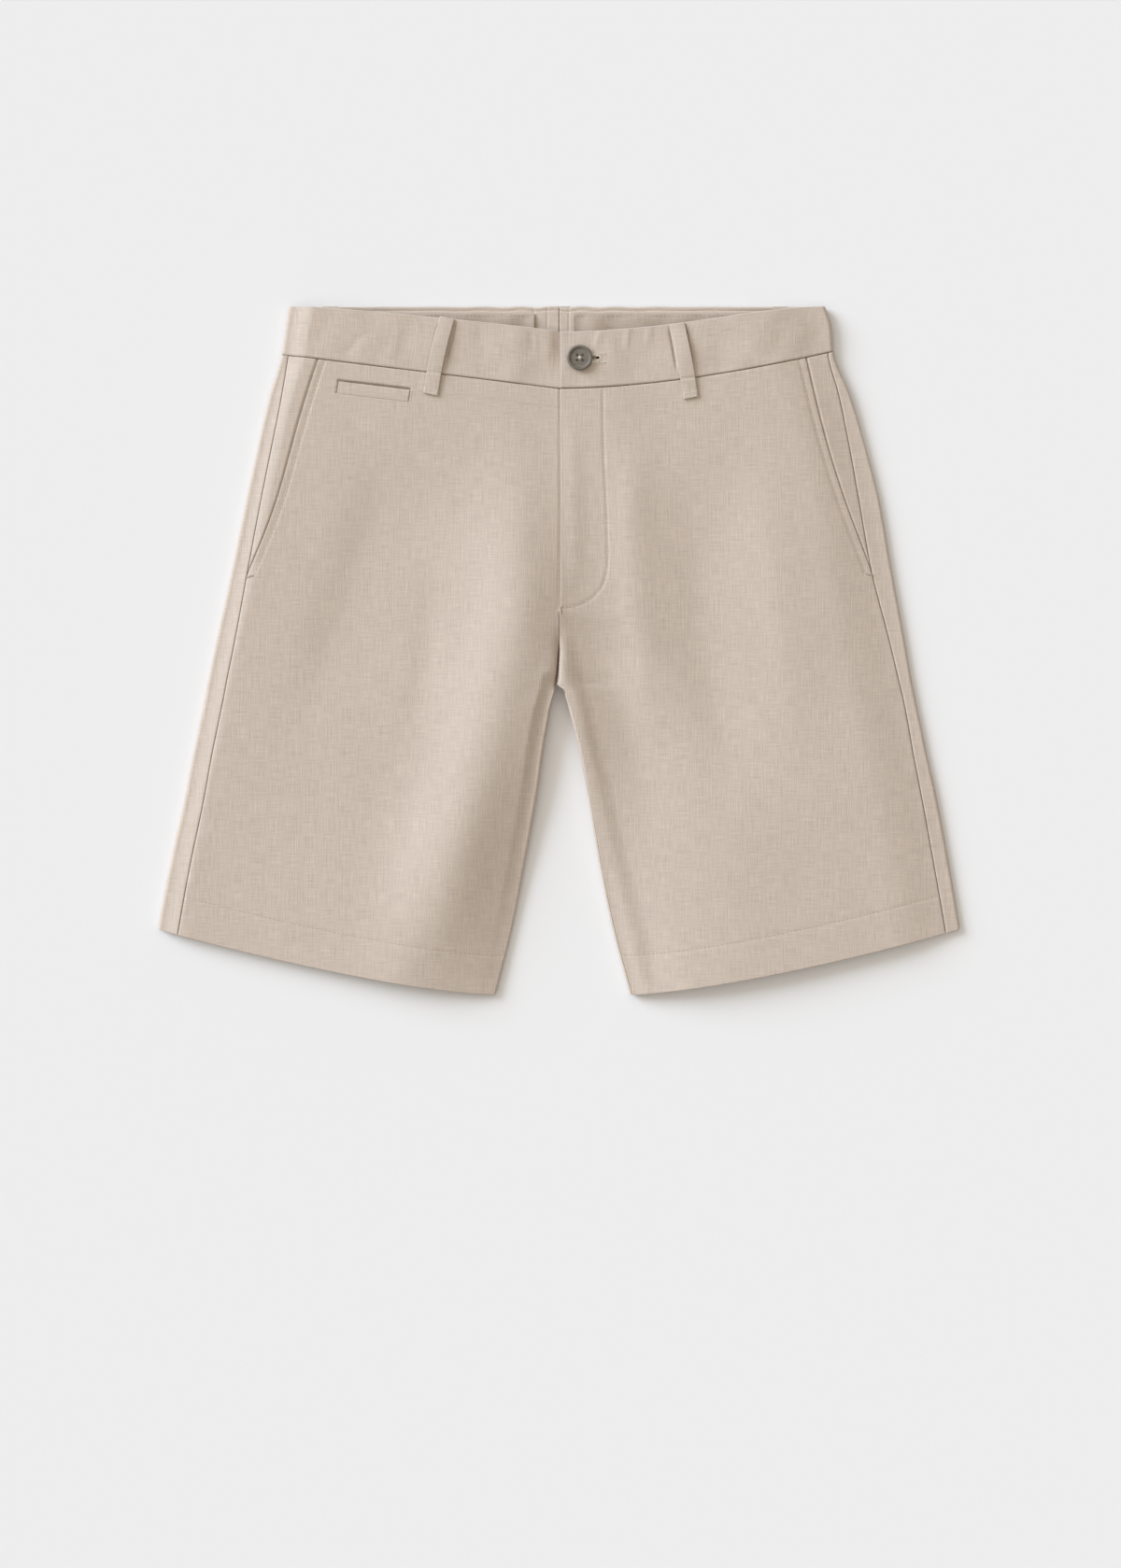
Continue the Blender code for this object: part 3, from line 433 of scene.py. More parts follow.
# A leg's outer face: the front's, over or under at the lap and a step higher at the hem, less its
# grooves and dips, with the puckers added.
def legTop(side, x, drop):
    closed = 1 - ease((drop - fly["end"]) / fly["lapRun"])
    hemStep = cut["hemStep"] * ease((drop - hem(x) + cut["hemDepth"]) / cut["hemStepRun"])
    top = frontHeight(x, drop) + lap(side, x, fly["lap"]) * closed + hemStep - grooves(side, x, drop)
    top = top - narrowDips(side, x, drop) + seamPucker(side, x, drop)
    return top - weltBed(x, drop) if side == right else top


bandCreases = [
    # small pulls beside the overlap and the left loop
    ([(-15, 19), (-13, 44)], (2, 3), -0.35, (0.3, 0.6)),
    ([(-22.5, 18), (-19.5, 40)], (2, 3), -0.35, (0.3, 0.6)),
    ([(31, 17), (26.5, 36)], (2.2, 4), 0.5, (0.3, 0.6)),
    ([(45, 17), (47, 52)], (5, 6), -0.4, (0.3, 0.5)),
    ([(53, 13), (50, 40)], (3, 2.2), 0.5, (0.2, 0.6)),
    ([(69, 12), (66, 34)], (3, 2.2), 0.4, (0.2, 0.6)),
    # soft pulls between the loops and the sides
    ([(-144, 18), (-162, 40)], (5, 4), -0.3, (0.3, 0.4)),
    ([(-118, 12), (-127, 44)], (4, 4), 0.4, (0.3, 0.4)),
    ([(-30, 14), (-34, 66)], (8, 8), 0.6, (0.3, 0.4)),
    ([(-60, 8), (-56, 60)], (6, 10), -0.5, (0.3, 0.4)),
    ([(-112, 6), (-118, 58)], (8, 10), -0.5, (0.3, 0.3)),
    ([(-150, 4), (-146, 52)], (7, 9), 0.5, (0.3, 0.3)),
    ([(52, 16), (58, 66)], (8, 10), -0.6, (0.3, 0.4)),
    ([(118, 10), (124, 60)], (9, 11), -0.7, (0.3, 0.3)),
    ([(140, 6), (150, 52)], (8, 9), 0.5, (0.3, 0.3)),
    ([(162, 4), (170, 46)], (8, 9), -0.5, (0.3, 0.3)),
]
# The band dips in a narrow line along both sides of each front loop.
loopDips = [
    ([(-77.4, 10), (-79.5, 22), (-83.4, 36), (-86.4, 52)], (0.9, 1.1), -1.6, (0.15, 0.4)),
    ([(-89.7, 12), (-91.6, 21), (-94.9, 34)], (0.8, 0.8), -1, (0.2, 0.4)),
    ([(82.2, 15), (85.3, 31), (88.8, 52)], (1, 0.8), -1.3, (0.15, 0.3)),
    ([(94, 14), (97.2, 31), (100.5, 52)], (0.8, 1), -1.3, (0.15, 0.3)),
]
bandRipple = {"high": 0.00022, "x": 0.0073, "drop": 0.011, "swing": 1.7, "slow": 0.027, "down": 0.019,
              "out": 0.041, "edge": 0.02}
# The right half of the band tucks in under the left one.
tuck = {"deep": 0.0026, "wide": 0.0058, "under": 0.012, "from": 0.03, "run": 0.032}


# A bell across from the lap's edge, of another width under it, which eases out down the band.
def tuckDip(side, x, drop):
    fromEdge = x - waist[left]["lapEnd"]
    across = bell(fromEdge / np.where(fromEdge < 0, tuck["wide"], tuck["under"]))
    return tuck["deep"] * across * (1 - ease((drop - tuck["from"]) / tuck["run"])) * (side == right)


# The band's outer face: the front's, a little proud of it, with its own creases and ripples.
def bandFace(side, x, drop):
    look = bandRipple
    waves = np.sin(x / look["x"] + drop / look["drop"] + look["swing"] * np.sin(x / look["slow"]))
    uneven = look["high"] * waves * np.cos(drop / look["down"] + x / look["out"])
    fade = ease((outerEdge(x, drop) - np.abs(x)) / look["edge"])
    soft = (creaseHeight(x, drop, bandCreases) + uneven) * fade
    face = frontHeight(x, drop) + soft - waistDip(x, drop)
    return face + waist["bandProud"] + lap(side, x, waist["bandLap"]) - tuckDip(side, x, drop)


# Sets a node's inputs from a table: a value, or an output to link from.
def setInputs(tree, node, inputs):
    for key, value in inputs.items():
        if isinstance(value, bpy.types.NodeSocket):
            tree.links.new(value, node.inputs[key])
        else:
            node.inputs[key].default_value = value


# A shader node of one kind, with its settings and its inputs.
def makeNode(tree, kind, inputs=None, **settings):
    node = tree.nodes.new(kind)
    for key, value in settings.items():
        setattr(node, key, value)
    setInputs(tree, node, inputs or {})
    return node


# The output of one operation on values or on other outputs.
def doMath(tree, operation, *values):
    return makeNode(tree, "ShaderNodeMath", dict(enumerate(values)), operation=operation).outputs[0]


# A material, its node tree and its surface shader.
def newMaterial(name, inputs):
    material = bpy.data.materials.new(name)
    material.use_nodes = True
    tree = material.node_tree
    setInputs(tree, tree.nodes["Principled BSDF"], inputs)
    return material, tree, tree.nodes["Principled BSDF"]


# One noise of the cloth's plane, stretched: scale across (u) and down (v), in waves per metre.
def clothNoise(tree, uv, across, down, detail, shift):
    place = makeNode(tree, "ShaderNodeMapping", {"Vector": uv, "Scale": (across, down, 1),
                                                 "Location": (shift, shift * 0.7, 0)})
    noise = makeNode(tree, "ShaderNodeTexNoise", noise_dimensions="2D")
    setInputs(tree, noise, {"Vector": place.outputs[0], "Scale": 1.0, "Detail": detail})
    return doMath(tree, "SUBTRACT", noise.outputs[0], 0.5)


linenLook = {
    # The facing's colour is darker than the linen's: partly its own tone, partly painted shade where the
    # front band shades the inside of the back.
    "colour": (0.545, 0.462, 0.39), "facingToneAndPaintedShade": (0.447, 0.371, 0.304),
    "threadPitch": 0.00062, "threadTone": 0.14, "slubTone": 0.042, "weftShare": 0.65, "cloudTone": 0.02,
    "noises": [(1, 22, 3.0), (22, 1, 17.0), (2, 90, 31.0), (70, 2, 47.0)],  # warp, weft and their slubs
    "cloud": (30.0, 11.0, 0.5, 5.0), "weaveTone": 0.25, "weaveHigh": 0.35,
    "bumpDeep": 0.00022, "bumpStrength": 0.5,
    "roughness": 0.92, "sheen": 0.1, "sheenRoughness": 0.6, "specular": 0.25,
}


# Plain weave: long thin noises down and across are the single threads, wider ones the slubs, and
# the product of two sines is the over and under of the weave.
def linenMaterial(name, look, colour):
    material, tree, shader = newMaterial(name, {
        "Roughness": look["roughness"], "Sheen Weight": look["sheen"],
        "Sheen Roughness": look["sheenRoughness"], "Specular IOR Level": look["specular"]})
    math = partial(doMath, tree)
    uv = makeNode(tree, "ShaderNodeUVMap", uv_map="cloth").outputs[0]
    fine = 1 / look["threadPitch"]
    warp, weft, warpSlub, weftSlub = (clothNoise(tree, uv, fine / across, fine / down, 1.0, shift)
                                      for across, down, shift in look["noises"])
    cloud = clothNoise(tree, uv, *look["cloud"])
    parts = makeNode(tree, "ShaderNodeSeparateXYZ", {"Vector": uv}).outputs
    weave = math("MULTIPLY", *[math("SINE", math("MULTIPLY", part, np.pi * fine)) for part in parts[:2]])
    threads = math("ADD", warp, weft)
    slubs = math("ADD", warpSlub, math("MULTIPLY", weftSlub, look["weftShare"]))
    tone = math("MULTIPLY_ADD", threads, look["threadTone"] * 2, 1.0)
    tone = math("MULTIPLY_ADD", slubs, look["slubTone"] * 2, tone)
    tone = math("MULTIPLY_ADD", cloud, look["cloudTone"] * 2, tone)
    tone = math("MULTIPLY_ADD", weave, look["threadTone"] * look["weaveTone"], tone)
    toned = makeNode(tree, "ShaderNodeVectorMath", {0: colour, "Scale": tone}, operation="SCALE")
    height = math("MULTIPLY_ADD", weave, look["weaveHigh"], math("ADD", threads, slubs))
    bump = makeNode(tree, "ShaderNodeBump", {"Height": height, "Strength": look["bumpStrength"],
                                             "Distance": look["bumpDeep"]})
    setInputs(tree, shader, {"Base Color": toned.outputs[0], "Normal": bump.outputs[0]})
    return material


threadLook = {
    # The seam thread is darker than the cloth: painted shade for the small shadows where the stitches sink
    # into the cloth.
    "colours": {"seam_thread_painted_shade": (0.48, 0.4, 0.33), "button_thread_cotton": (0.72, 0.68, 0.6),
                "buttonhole_thread": (0.78, 0.71, 0.61)},
    "roughness": 0.85, "sheen": 0.1, "twist": 2600.0, "distortion": 2.0, "tones": (0.86, 1.08),
}


# Twisted thread: a slanting wave over the piece gives its strands.
def threadMaterial(name, look):
    finish = {"Roughness": look["roughness"], "Sheen Weight": look["sheen"]}
    material, tree, shader = newMaterial(name, finish)
    place = makeNode(tree, "ShaderNodeTexCoord").outputs["Object"]
    wave = makeNode(tree, "ShaderNodeTexWave", {"Vector": place, "Scale": look["twist"],
                                                "Distortion": look["distortion"]}, bands_direction="DIAGONAL")
    low, high = look["tones"]
    ramp = makeNode(tree, "ShaderNodeMapRange", {"Value": wave.outputs["Fac"], "To Min": low, "To Max": high})
    toned = makeNode(tree, "ShaderNodeVectorMath", {0: look["colours"][name], "Scale": ramp.outputs[0]},
                     operation="SCALE")
    setInputs(tree, shader, {"Base Color": toned.outputs[0]})
    return material


linen = linenMaterial("linen_cloth", linenLook, linenLook["colour"])
# The facing uses the linen in that darker colour, so part of the shade on the inside of the back is painted
# into it.
facingClothToneAndShade = linenMaterial("facing_cloth_tone_and_shade", linenLook, linenLook["facingToneAndPaintedShade"])
# The first, for the seams, carries painted shade of its sunk stitches in its darker colour; the other two are
# pale thread.
thread, paleThread, buttonholeThread = (threadMaterial(name, threadLook) for name in threadLook["colours"])
print("materials made")


# Shares from 0 to 1 that crowd where a peak (share, half width, how much denser) asks for it.
def spread(count, *peaks):
    fine = np.linspace(0, 1, 4000)
    density = np.ones(len(fine)) + sum(more * bell((fine - at) / half) for at, half, more in peaks)
    total = np.concatenate([[0], np.cumsum((density[1:] + density[:-1]) / 2)])
    return np.interp(np.linspace(0, 1, count), total / total[-1], fine)


edgeSteps = np.array([0, 0.00012, 0.0003, 0.00055, 0.0009, 0.0014, 0.0021])


# The same, with close steps at one or both ends where the cloth's edge is rounded.
def spreadRounded(length, count, *peaks, ends=(True, True)):
    low = edgeSteps / length if ends[0] else np.array([0.0])
    high = 1 - edgeSteps[::-1] / length if ends[1] else np.array([1.0])
    return np.concatenate([low, mix(low[-1], high[0], spread(count, *peaks))[1:-1], high])


# The points at x, a drop and a height z: y is topY less the drop.
def spot(x, drop, z):
    return np.stack(np.broadcast_arrays(x, cut["topY"] - drop, z), axis=-1)


# The cloth's own plane: u is the run of its surface along a row, and v is the place down it.
def clothUv(points):
    sign = np.sign(points[0, 1, 0] - points[0, 0, 0])
    return np.stack([points[:, :1, 0] + sign * lengthAlong(points, 1), points[..., 1]], axis=-1)


# A piece made of quads. Points that no quad uses are left out.
def addMesh(name, points, faces, material, uv=None):
    kept, faces = np.unique(faces, return_inverse=True)
    faces = faces.reshape(-1, 4)
    mesh = bpy.data.meshes.new(name)
    mesh.vertices.add(len(kept))
    mesh.vertices.foreach_set("co", points[kept].astype(np.float32).ravel())
    mesh.loops.add(faces.size)
    mesh.loops.foreach_set("vertex_index", faces.astype(np.int32).ravel())
    mesh.polygons.add(len(faces))
    mesh.polygons.foreach_set("loop_start", np.arange(0, faces.size, 4, dtype=np.int32))
    if uv is not None:
        mesh.uv_layers.new(name="cloth").data.foreach_set("uv", uv[kept][faces].astype(np.float32).ravel())
    mesh.update(calc_edges=True)
    return addPiece(name, mesh, material)


# Every piece is shaded smooth and rides on the garment's one body.
def addPiece(name, mesh, material):
    mesh.validate()
    mesh.materials.append(material)
    mesh.shade_smooth()
    piece = bpy.data.objects.new(name, mesh)
    bpy.context.scene.collection.objects.link(piece)
    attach(piece, "root")
    return piece


# A mask that keeps every cell of a grid.
def allCells(grid):
    return np.ones((grid.shape[0] - 1, grid.shape[1] - 1), bool)


# A closed wall between two grids of points. Its thickness shrinks as a quarter circle towards the
# free edges, over the distance rounded. keep says which cells of the grid are cloth.
def clothWall(name, outer, inner, material=linen, uv=None, rounded=0.0004, edgeShare=0.22, keep=None):
    rows, columns = outer.shape[:2]
    keep = allCells(outer) if keep is None else keep
    uv = clothUv(outer) if uv is None else uv
    used = np.zeros((rows, columns), bool)
    for r, c in ((0, 0), (0, 1), (1, 0), (1, 1)):
        used[r:rows - 1 + r, c:columns - 1 + c] |= keep
    fromFree = np.inf
    for axis in (0, 1):
        along = lengthAlong(outer, axis)
        last = np.max(np.where(used, along, -1), axis=axis, keepdims=True)
        first = np.min(np.where(used, along, 9), axis=axis, keepdims=True)
        fromFree = np.minimum(fromFree, np.minimum(along - first, last - along))
    share = np.clip(fromFree / rounded, 0, 1)
    profile = (edgeShare + (1 - edgeShare) * np.sqrt(1 - (1 - share) ** 2))[..., None]
    middle = (outer + inner) / 2
    outer, inner = mix(middle, outer, profile), mix(middle, inner, profile)

    far = rows * columns
    index = np.arange(far).reshape(rows, columns)
    quads = np.stack([index[:-1, :-1], index[:-1, 1:], index[1:, 1:], index[1:, :-1]], axis=-1)[keep]
    starts, ends = quads.ravel(), np.roll(quads, -1, axis=1).ravel()
    free = ~np.isin(starts * far + ends, ends * far + starts)
    rim = np.stack([ends[free], starts[free], starts[free] + far, ends[free] + far], axis=-1)
    faces = np.concatenate([quads, quads[:, ::-1] + far, rim])
    points = np.concatenate([outer.reshape(-1, 3), inner.reshape(-1, 3)])
    a, b, d = points[quads[:, 0]], points[quads[:, 1]], points[quads[:, 3]]
    if np.sum(np.cross(b - a, d - a) * (a - points[quads[:, 0] + far])) < 0:
        faces = faces[:, ::-1]
    return addMesh(name, points, faces, material, np.concatenate([uv.reshape(-1, 2)] * 2))


# Rows down a leg, one of them right at the crotch, and that row's number.
def legRows(count, *peaks):
    v = spreadRounded(0.45, count, *peaks)
    crotch = (cut["crotch"] - waist["frontSeam"]) / (cut["hemLow"] - waist["frontSeam"])
    row = int(np.argmin(np.abs(v - crotch)))
    v[row] = crotch
    return v, row


# The round inner fold of a leg, from one angle to another: an ellipse whose top is the leg's face.
def innerFold(side, v, angleFrom, angleTo, count, depth):
    down = centreDrop(v)[:, None]
    reach = innerAcross(side, down)
    middleX = innerX(side, down) + side * reach
    high = legTop(side, middleX, legDrop(middleX, v[:, None])) / 2
    angle = mix(angleFrom, angleTo, np.linspace(0, 1, count)[None, :])
    drop = legDrop(middleX - side * reach * np.cos(angle), v[:, None], (1 - np.sin(angle)) / 2)
    return spot(middleX - side * (reach - depth) * np.cos(angle), drop, high + (high - depth) * np.sin(angle))


# A leg's wall: its two grids go on round the inner fold, which has cloth only below the crotch.
def legWall(kind, side, v, crotchRow, grids, angleFrom, angleTo, count):
    flat = grids[0].shape[1]
    folds = [innerFold(side, v, angleFrom, angleTo, count, depth) for depth in (0.0, legCloth(v)[:, None])]
    outer, inner = (np.concatenate([grid, fold[:, 1:]], axis=1) for grid, fold in zip(grids, folds))
    keep = allCells(outer)
    keep[:crotchRow, flat - 1:] = False
    return clothWall(f"linen_{kind}_{sideName[side]}", outer, inner, keep=keep)


frontPanel = {
    "rows": 230, "columns": 150, "foldColumns": 10,
    "rowPeaks": {right: [(0.932, 0.012, 3.0), (0.042, 0.02, 6.0)],
                 left: [(0.932, 0.012, 3.0), (0.335, 0.045, 2.5)]},
    "columnPeaks": {right: [(0.028, 0.01, 3.0), (0.1, 0.008, 3.0), (0.395, 0.008, 3.0), (0.969, 0.006, 6.0)],
                    left: [(0.028, 0.01, 3.0), (0.85, 0.035, 2.2)]},
}


# Across a front, x runs from the pocket mouth and side seam to the centre seam and inseam.
def frontLeg(side):
    v, crotchRow = legRows(frontPanel["rows"], *frontPanel["rowPeaks"][side])
    u = spreadRounded(0.22, frontPanel["columns"], *frontPanel["columnPeaks"][side])[None, :]
    down = centreDrop(v)[:, None]
    outerSide = side * (pocketMouth(side, v[:, None]) - cut["seamGap"] / 2)
    innerSide = innerX(side, down) + side * innerAcross(side, down) * (down >= cut["crotch"])
    lapped = 1 - ease((down - fly["end"]) / fly["footRun"] + 1)
    innerSide = innerSide + lapped * (fly["under"] if side == right else waist[left]["lapEnd"])
    x = mix(outerSide, innerSide, u)
    drop = legDrop(x, v[:, None])
    top = legTop(side, x, drop)
    grids = [spot(x, drop, top), spot(x, drop, top - legCloth(v)[:, None])]
    seam = seamAngle(side, down)
    return legWall("front", side, v, crotchRow, grids, np.pi / 2, seam, frontPanel["foldColumns"])


# A wall that starts on the front at start, wraps round the side fold, and lies under the front.
# Distances are from the centre line. placeDrop gives the drop at x, the share v and the layer.
# counts and peaks are for the columns on top, in the fold and under.
def wrapped(side, v, start, inner, dropOut, placeDrop, topHeight, cloth, proud, counts,
            topLong=0.012, topPeaks=(), underPeaks=()):
    v, start, inner, dropOut, cloth = (a[:, None] for a in (v, start, inner, dropOut, cloth))
    radius = foldRadius(side, dropOut, proud)
    turnAt = outerEdge(side, dropOut) - radius
    onTop = mix(start, turnAt, spreadRounded(topLong, counts[0], *topPeaks, ends=(True, False))[None, :])
    turn = np.linspace(np.pi / 2, -np.pi / 2, counts[1])[None, 1:]
    under = mix(turnAt, inner, spreadRounded(0.2, counts[2], *underPeaks, ends=(False, True))[None, 1:])
    high = (topHeight(side * turnAt, placeDrop(side * turnAt, v, 0.0)) - lift(dropOut)) / 2
    topDrop, lowDrop = placeDrop(side * onTop, v, 0.0), placeDrop(side * under, v, 1.0)
    foldDrop = placeDrop(side * (turnAt + radius * np.cos(turn)), v, (1 - np.sin(turn)) / 2)
    grids = []
    for depth in (0 * cloth, cloth):
        top = spot(side * onTop, topDrop, topHeight(side * onTop, topDrop) - depth)
        foldZ = lift(dropOut) + high + (high - depth) * np.sin(turn)
        fold = spot(side * (turnAt + (radius - depth) * np.cos(turn)), foldDrop, foldZ)
        grids.append(np.concatenate([top, fold, spot(side * under, lowDrop, lift(lowDrop) + depth)], axis=1))
    return grids


backPanel = {"rows": 150, "columns": (14, 18, 46), "innerColumns": 12}


# A back goes from the side seam on the front round the side fold to the centre seam and inseam.
def backLeg(side):
    v, crotchRow = legRows(backPanel["rows"], (0.932, 0.012, 2.0))
    down = centreDrop(v)
    inner = side * (innerX(side, down) + side * innerAcross(side, down) * (down >= cut["crotch"]))
    grids = wrapped(side, v, sideSeam(side, v) + cut["seamGap"] / 2, inner, sideDrop(side, v), legDrop,
                    partial(legTop, side), legCloth(v), 0.0, backPanel["columns"])
    seam = seamAngle(side, down[:, None]) - cut["seamGap"] / (innerTop(side, down[:, None]) / 2)
    return legWall("back", side, v, crotchRow, grids, -np.pi / 2, seam, backPanel["innerColumns"])


band = {"rows": 46, "columns": (250, 14, 110), "edgeRound": 0.0007, "loopCrowd": (0.034, 4.0)}
buttonhole = {"from": 0.013, "to": 0.0304, "drop": 0.0396, "half": 0.0009, "eye": 0.0012,
              "rows": np.array([0.001, 0.0014, 0.0018, 0.0024, 0.0032]), "rowsClear": 0.01,
              "bars": (0.0235, 0.035), "barsOff": 0.0034, "barRadius": 0.00036}
# Narrow dips in the band's inner face at the back: below the rolled top edge, and down its seams.
inside = {"roll": 0.003, "rollDeep": 0.0006, "rollWide": 0.0006, "seams": (-0.019, -0.009, 0.0073),
          "seamDeep": 0.0003, "seamWide": 0.0007}


# Each dip is a bell across its line.
def insideDips(x, drop):
    dips = inside["rollDeep"] * bell((drop - bandTop(x, 1.0) - inside["roll"]) / inside["rollWide"])
    return dips + sum(inside["seamDeep"] * bell((x - at) / inside["seamWide"]) for at in inside["seams"])


# Drop at a share v of the way down the band, from its top edge to its seam.
def bandDrop(x, v, layer):
    return mix(bandTop(x, layer), waistSeam(x, layer) - cut["seamGap"] / 2, v)


# Half of the band, from its lapped end at the front round the side to centre back. The left one
# has the buttonhole: a slit between two rows of the grid.
def waistBand(side):
    v = spreadRounded(0.043, band["rows"], (0.09, 0.05, 3.0))
    if side == left:
        x0 = (buttonhole["from"] + buttonhole["to"]) / 2
        long = waistSeam(x0) - bandTop(x0)
        slit = (buttonhole["drop"] - bandTop(x0)) / long
        steps = np.concatenate([-buttonhole["rows"][::-1], buttonhole["rows"]]) / long
        above, below = slit + steps[[0, -1]] + np.array([-1, 1]) * buttonhole["rowsClear"]
        v = np.concatenate([v[v < above], slit + steps, v[v > below]])
    start = np.full(len(v), side * waist[side]["lapEnd"])
    xTop, _, xFoot, _ = np.abs(beltLoops["front_" + sideName[side]])
    run = float(outerEdge(side, 0.02)) - start[0]
    nearLoop = (((xTop + xFoot) / 2 - start[0]) / run, *band["loopCrowd"])
    middle, cloth = np.full(len(v), cut["seamGap"] / 2), np.full(len(v), waist["bandCloth"])
    outer, inner = wrapped(side, v, start, middle, waist[side]["seamSide"] * v, bandDrop,
                           lambda x, drop: bandFace(side, x, drop) + creaseHeight(x, drop, loopDips),
                           cloth, waist["bandProud"], band["columns"], run, [nearLoop], [(0.97, 0.06, 8.0)])
    column = np.arange(outer.shape[1])
    under = column >= band["columns"][0] + band["columns"][1]
    inner[..., 2] -= insideDips(inner[..., 0], cut["topY"] - inner[..., 1]) * under
    keep = allCells(outer)
    if side == left:
        x = outer[0, :, 0]
        inSlit = (x > buttonhole["from"]) & (x < buttonhole["to"]) & (column < band["columns"][0])
        row = int(np.argmin(np.abs(v - slit - steps[len(steps) // 2 - 1])))
        keep[row, np.flatnonzero(inSlit)[:-1]] = False
    uv = clothUv(outer)
    uv[..., 1] = -lengthAlong(outer, 0)
    name = "linen_waistband_" + sideName[side]
    return clothWall(name, outer, inner, uv=uv, rounded=band["edgeRound"], keep=keep)


facing = {"top": 0.0052, "foot": 0.0385, "from": {right: 0.0185, left: 0.0105}, "half": 0.188,
          "cloth": 0.001, "columns": 120, "rows": 22, "edgeRound": 0.0005, "off": 0.00035, "offRun": 0.004,
          "high": 0.00075, "wave": 0.0042, "swing": 1.5, "slow": 0.019, "reach": 0.095}


# The strip inside the back of the band, with small puckers near centre back.
def facingTop(x, drop):
    pucker = ripple(x, facing) * bell(x / facing["reach"])
    base = lift(drop) + waist["bandCloth"] + cut["seamGap"] + facing["cloth"]
    return base + (pucker + facing["off"]) * ease((drop - facing["top"]) / facing["offRun"])


# Half of the facing, from beside centre back to the side.
def bandFacing(side):
    u = spreadRounded(facing["half"], facing["columns"])[None, :]
    v = spreadRounded(0.03, facing["rows"])[:, None]
    x = side * mix(facing["from"][side], facing["half"], u)
    drop = mix(facing["top"], facing["foot"], v)
    top = facingTop(x, drop)
    # The facing's darker cloth paints in part of the shade under the front band.
    return clothWall("facing_waistband_" + sideName[side], spot(x, drop, top),
                     spot(x, drop, top - facing["cloth"]), facingClothToneAndShade, rounded=facing["edgeRound"])


# The side piece inside the slant pocket: it runs in under the front past the pocket mouth.
def pocketFacing(side, rows=90, columns=44):
    v = spreadRounded(0.165, rows)[:, None] * pocketFoot(side)
    mouth = pocketMouth(side, v)
    u = spreadRounded(0.035, columns)[None, :]
    out = mix(sideSeam(side, v) - cut["seamGap"] / 2, mouth - pocket["under"], u)
    x, drop = side * out, legDrop(side * out, v)
    run = mix(pocket["mouthRun"], pocket["footRun"], ease(v / pocketFoot(side)))
    below = (cut["cloth"] + pocket["clear"]) * (1 - np.clip((out - mouth) / run, 0, 1))
    top = frontHeight(x, drop) - below - narrowDips(side, x, drop)
    name = "linen_pocket_facing_" + sideName[side]
    return clothWall(name, spot(x, drop, top), spot(x, drop, top - cut["cloth"]))


# The welt's underside: a seam's gap over the sunken cloth of the leg.
def weltBase(x, drop):
    return frontHeight(x, drop) - welt["sunk"] + cut["seamGap"]


# The welt's face is a parabola down it: its crown times 4v(1 - v).
def coinWelt():
    u, v = spreadRounded(welt["long"], 40)[None, :], spreadRounded(welt["high"], 14)[:, None]
    x, drop = weltPlace((u - 0.5) * welt["long"], (v - 0.5) * welt["high"])
    base = weltBase(x, drop)
    outer = spot(x, drop, base + welt["cloth"] + welt["crown"] * 4 * v * (1 - v))
    return clothWall("linen_coin_pocket_welt", outer, spot(x, drop, base), rounded=0.0003)


# Belt loops: x and drop of the upper end, x and drop of the lower end.
beltLoops = {
    "front_right": (-0.0838, 0.0092, -0.0964, 0.0668), "front_left": (0.0883, 0.0138, 0.0988, 0.0695),
    "side_right": (-0.1725, -0.0008, -0.1725, 0.055), "centre_back": (0.002, -0.0008, 0.002, 0.055),
    "side_left": (0.166, -0.0008, 0.166, 0.055),
}
loopLook = {"width": 0.0111, "cloth": 0.0013, "backCloth": 0.001, "crown": 0.00028, "bow": 0.0017,
            "bowAt": 0.75, "swing": {"front_right": -0.0011, "front_left": 0.0006}, "seamRun": 0.006}


# Places on a strap, at a share of its length and a distance across from its middle line.
def onLoop(name, share, across):
    xTop, dropTop, xFoot, dropFoot = beltLoops[name]
    run = np.array([xFoot - xTop, dropFoot - dropTop])
    run = run / np.hypot(*run)
    swing = loopLook["swing"].get(name, 0.0) * np.sin(np.pi * share)
    return mix(xTop, xFoot, share) + across * run[1] + swing, mix(dropTop, dropFoot, share) - across * run[0]


# A front loop's underside: it is sewn down at both ends and bows off the band between them.
def loopBase(name, x, drop, share):
    side = left if name == "front_left" else right
    belowSeam = ease((drop - waistSeam(x)) / loopLook["seamRun"])
    base = mix(bandFace(side, x, drop), legTop(side, x, drop) + cut["seamGap"] / 2, belowSeam)
    return base + cut["seamGap"] + loopLook["bow"] * np.sin(np.pi * share ** loopLook["bowAt"]) ** 2


# A front loop's outer side has a shallow crown across.
def loopTop(name, x, drop, share, across):
    crown = loopLook["crown"] * (1 - (across / (loopLook["width"] / 2)) ** 2)
    return loopBase(name, x, drop, share) + loopLook["cloth"] + crown


# The side and back loops lie flat on the table, under the band.
def beltLoop(name):
    u, v = spreadRounded(loopLook["width"], 22)[None, :], spreadRounded(0.057, 60)[:, None]
    across = (u - 0.5) * loopLook["width"]
    x, drop = onLoop(name, v, across)
    onFront = name.startswith("front")
    base = loopBase(name, x, drop, v) if onFront else 0.0
    top = loopTop(name, x, drop, v, across) if onFront else loopLook["backCloth"]
    return clothWall("linen_belt_loop_" + name, spot(x, drop, top), spot(x, drop, base), rounded=0.0003)


makers = (frontLeg, backLeg, waistBand, bandFacing, pocketFacing)
fronts, backs, bands, facings, pocketFacings = ({s: make(s) for s in (right, left)} for make in makers)
weltPiece = coinWelt()
loopPieces = {name: beltLoop(name) for name in beltLoops}
print("cloth pieces made")

# A stitch's share of its length, size and rise over its line, at each of its rings.
stitchRings = {"at": np.array([0.0, 0.1, 0.3, 0.7, 0.9, 1.0]), "size": np.array([0.25, 0.8, 1, 1, 0.8, 0.25]),
               "rise": np.array([-2.2, -0.6, 0.6, 0.6, -0.6, -2.2]), "sides": 6}


